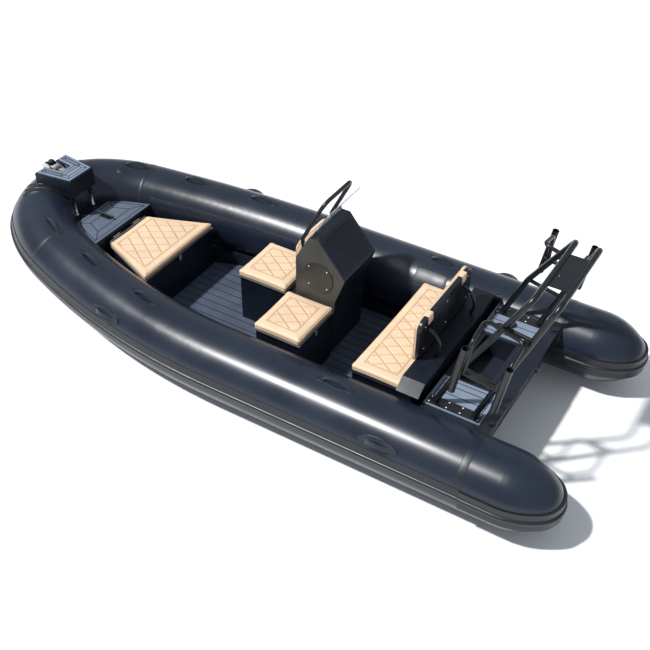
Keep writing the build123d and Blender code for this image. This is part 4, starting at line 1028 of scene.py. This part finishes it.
# Console: a blank dash panel, the screen's foot strip and the hatch's screws
consoleTrim = {
    "dash": ((1.311, 0.681), (1.518, 0.932)),
    "sides": (-0.387, 0.026),
    "panelMargin": (0.03, 0.028),
    "panelCorner": 0.025,
    "panelLift": 0.002,
    "panelDepth": 0.001,
    "screwInset": 0.016,
    "hatch": (1.515, 0.637, 0.032),
    "hatchScrews": 0.1,
    "foot": (1.6073, 0.8906),
    "footInset": 0.014,
    "footSize": (0.012, 0.004),
    "footUp": (0.871, 0, 0.491),
}
screwSize = (0.011, 0.011, 0.005)


def makeConsoleTrim(trim):
    base, (starboard, port) = tubePath["transom"], trim["sides"]
    low, high = (Vector((base + x, 0, z)) for x, z in trim["dash"])
    rise = (high - low).normalized()
    middle = (low + high) / 2 + portAxis * (starboard + port) / 2
    length = (high - low).length - 2 * trim["panelMargin"][0]
    width = port - starboard - 2 * trim["panelMargin"][1]
    out = portAxis.cross(-rise).normalized()
    panel = plateGrid(middle, portAxis, -rise, (width, length), trim["panelLift"], trim["panelDepth"],
                      trim["panelCorner"])
    addShell("dashPanel", [panel], "boxCoat", smooth=False)
    across, along = width / 2 - trim["screwInset"], length / 2 - trim["screwInset"]
    spots = [middle + portAxis * a * across + rise * b * along for a in (-1, 0, 1) for b in (-1, 1)]
    screws = [(spot + out * trim["panelLift"], portAxis, out) for spot in spots]
    spreadParts("dashScrews", "screw", screws, screwSize, "frameCoat")
    x, z, y = trim["hatch"]
    radials = [Vector((math.cos(math.radians(turn)), 0, math.sin(math.radians(turn)))) for turn in (45, 135, 225, 315)]
    screws = [(Vector((base + x, y, z)) + radial * trim["hatchScrews"], radial, portAxis) for radial in radials]
    spreadParts("hatchScrews", "screw", screws, screwSize, "whiteCap")
    x, z = trim["foot"]
    ends = [Vector((base + x, y, z)) for y in (starboard + trim["footInset"], port - trim["footInset"])]
    width, lift = trim["footSize"]
    addShell("screenFoot", [stripGrid(*ends, width, Vector(trim["footUp"]), lift)], "whiteCap",
             smooth=False)


makeConsoleTrim(consoleTrim)
print("console dressed")

# Screws and fittings of the stern, the backrest and the bow
sternTrim = {
    "baseReach": (0.092, 0.437),
    "baseShares": (0.0, 0.36, 0.64, 1.0),
    "basePort": 0.502,
    "baseTop": 0.471,
    "baseWidth": 0.074,
    "screwInset": 0.013,
    "boardScrews": ((-0.3, 0.64), (0, 0.64), (0.3, 0.64), (-0.3, 0.81), (0, 0.81), (0.3, 0.81)),
    "rivetAside": 0.015,
    "rivetUp": 0.016,
    "rivetSize": (0.009, 0.009, 0.004),
    "post": (3.628, 0.09),
    "postReach": (0.424, 0.6),
    "postRadius": 0.011,
    "postSides": 16,
    "postRings": ((0, 1.7), (0.012, 1.7), (0.014, 1.0), (-0.014, 1.0), (-0.012, 1.7), (0, 1.7)),
}


def tubePost(start, end, trim):
    # A round post with a small collar at each end
    axis = (end - start).normalized()
    side = axis.orthogonal().normalized()
    turns = [math.tau * k / trim["postSides"] for k in range(trim["postSides"])]
    ring = [side * math.cos(turn) + axis.cross(side) * math.sin(turn) for turn in turns]
    form = bmesh.new()
    loops = []
    for index, (step, scale) in enumerate(trim["postRings"]):
        middle = (start if index < len(trim["postRings"]) / 2 else end) + axis * step
        loops.append([form.verts.new(middle + out * trim["postRadius"] * scale) for out in ring])
    for first, second in zip(loops, loops[1:]):
        for k in range(len(ring)):
            form.faces.new((first[k - 1], first[k], second[k], second[k - 1]))
    form.faces.new(loops[0][::-1])
    form.faces.new(loops[-1])
    return meshFrom(form, "post")


def makeSternTrim(trim):
    base = tubePath["transom"]
    aft, fore = trim["baseReach"]
    length, inset = fore - aft - 2 * trim["screwInset"], trim["screwInset"]
    screws = []
    for side in (1, -1):
        for share in trim["baseShares"]:
            for across in (-1, 1):
                y = side * trim["basePort"] + across * (trim["baseWidth"] / 2 - inset)
                screws.append((Vector((base + aft + inset + length * share, y, trim["baseTop"])), bowAxis, upAxis))
    spreadParts("baseScrews", "screw", screws, screwSize, "whiteCap")
    screws = [(Vector((backTabs["back"], y, z)), upAxis, -bowAxis) for y, z in trim["boardScrews"]]
    spreadParts("boardScrews", "screw", screws, screwSize, "whiteCap", "bench")
    x, z = backTabs["back"] - backTabs["thick"], backTabs["top"] - backTabs["drop"] + trim["rivetUp"]
    sides = [middle + across * trim["rivetAside"] for middle in backTabs["places"] for across in (-1, 1)]
    rivets = [(Vector((x, y, z)), upAxis, -bowAxis) for y in sides]
    spreadParts("tabRivets", "screw", rivets, trim["rivetSize"], "stainless", "bench")
    low, high = trim["postReach"]
    for side, name in ((1, "stepPostPort"), (-1, "stepPostStarboard")):
        spot = Vector((base + trim["post"][0], side * trim["post"][1], 0))
        addPiece(name, tubePost(spot + upAxis * low, spot + upAxis * high, trim), "stainless")


makeSternTrim(sternTrim)
print("screws and posts set")

# Valve on the starboard tube
valve = {"along": 3.646, "lean": -18, "side": -1}
valveSizes = {"ring": (0.085, 0.0025), "cap": (0.056, 0.006)}
for part, paint, slotName in (("ring", "tubePatch", "tube_fabric"), ("cap", "railRubber", "rail_rubber")):
    across, lift = valveSizes[part]
    addShell(f"valve{part.title()}s", [patchGrid(length=across, width=across, lift=lift, **valve)], paint)
print("valve set")
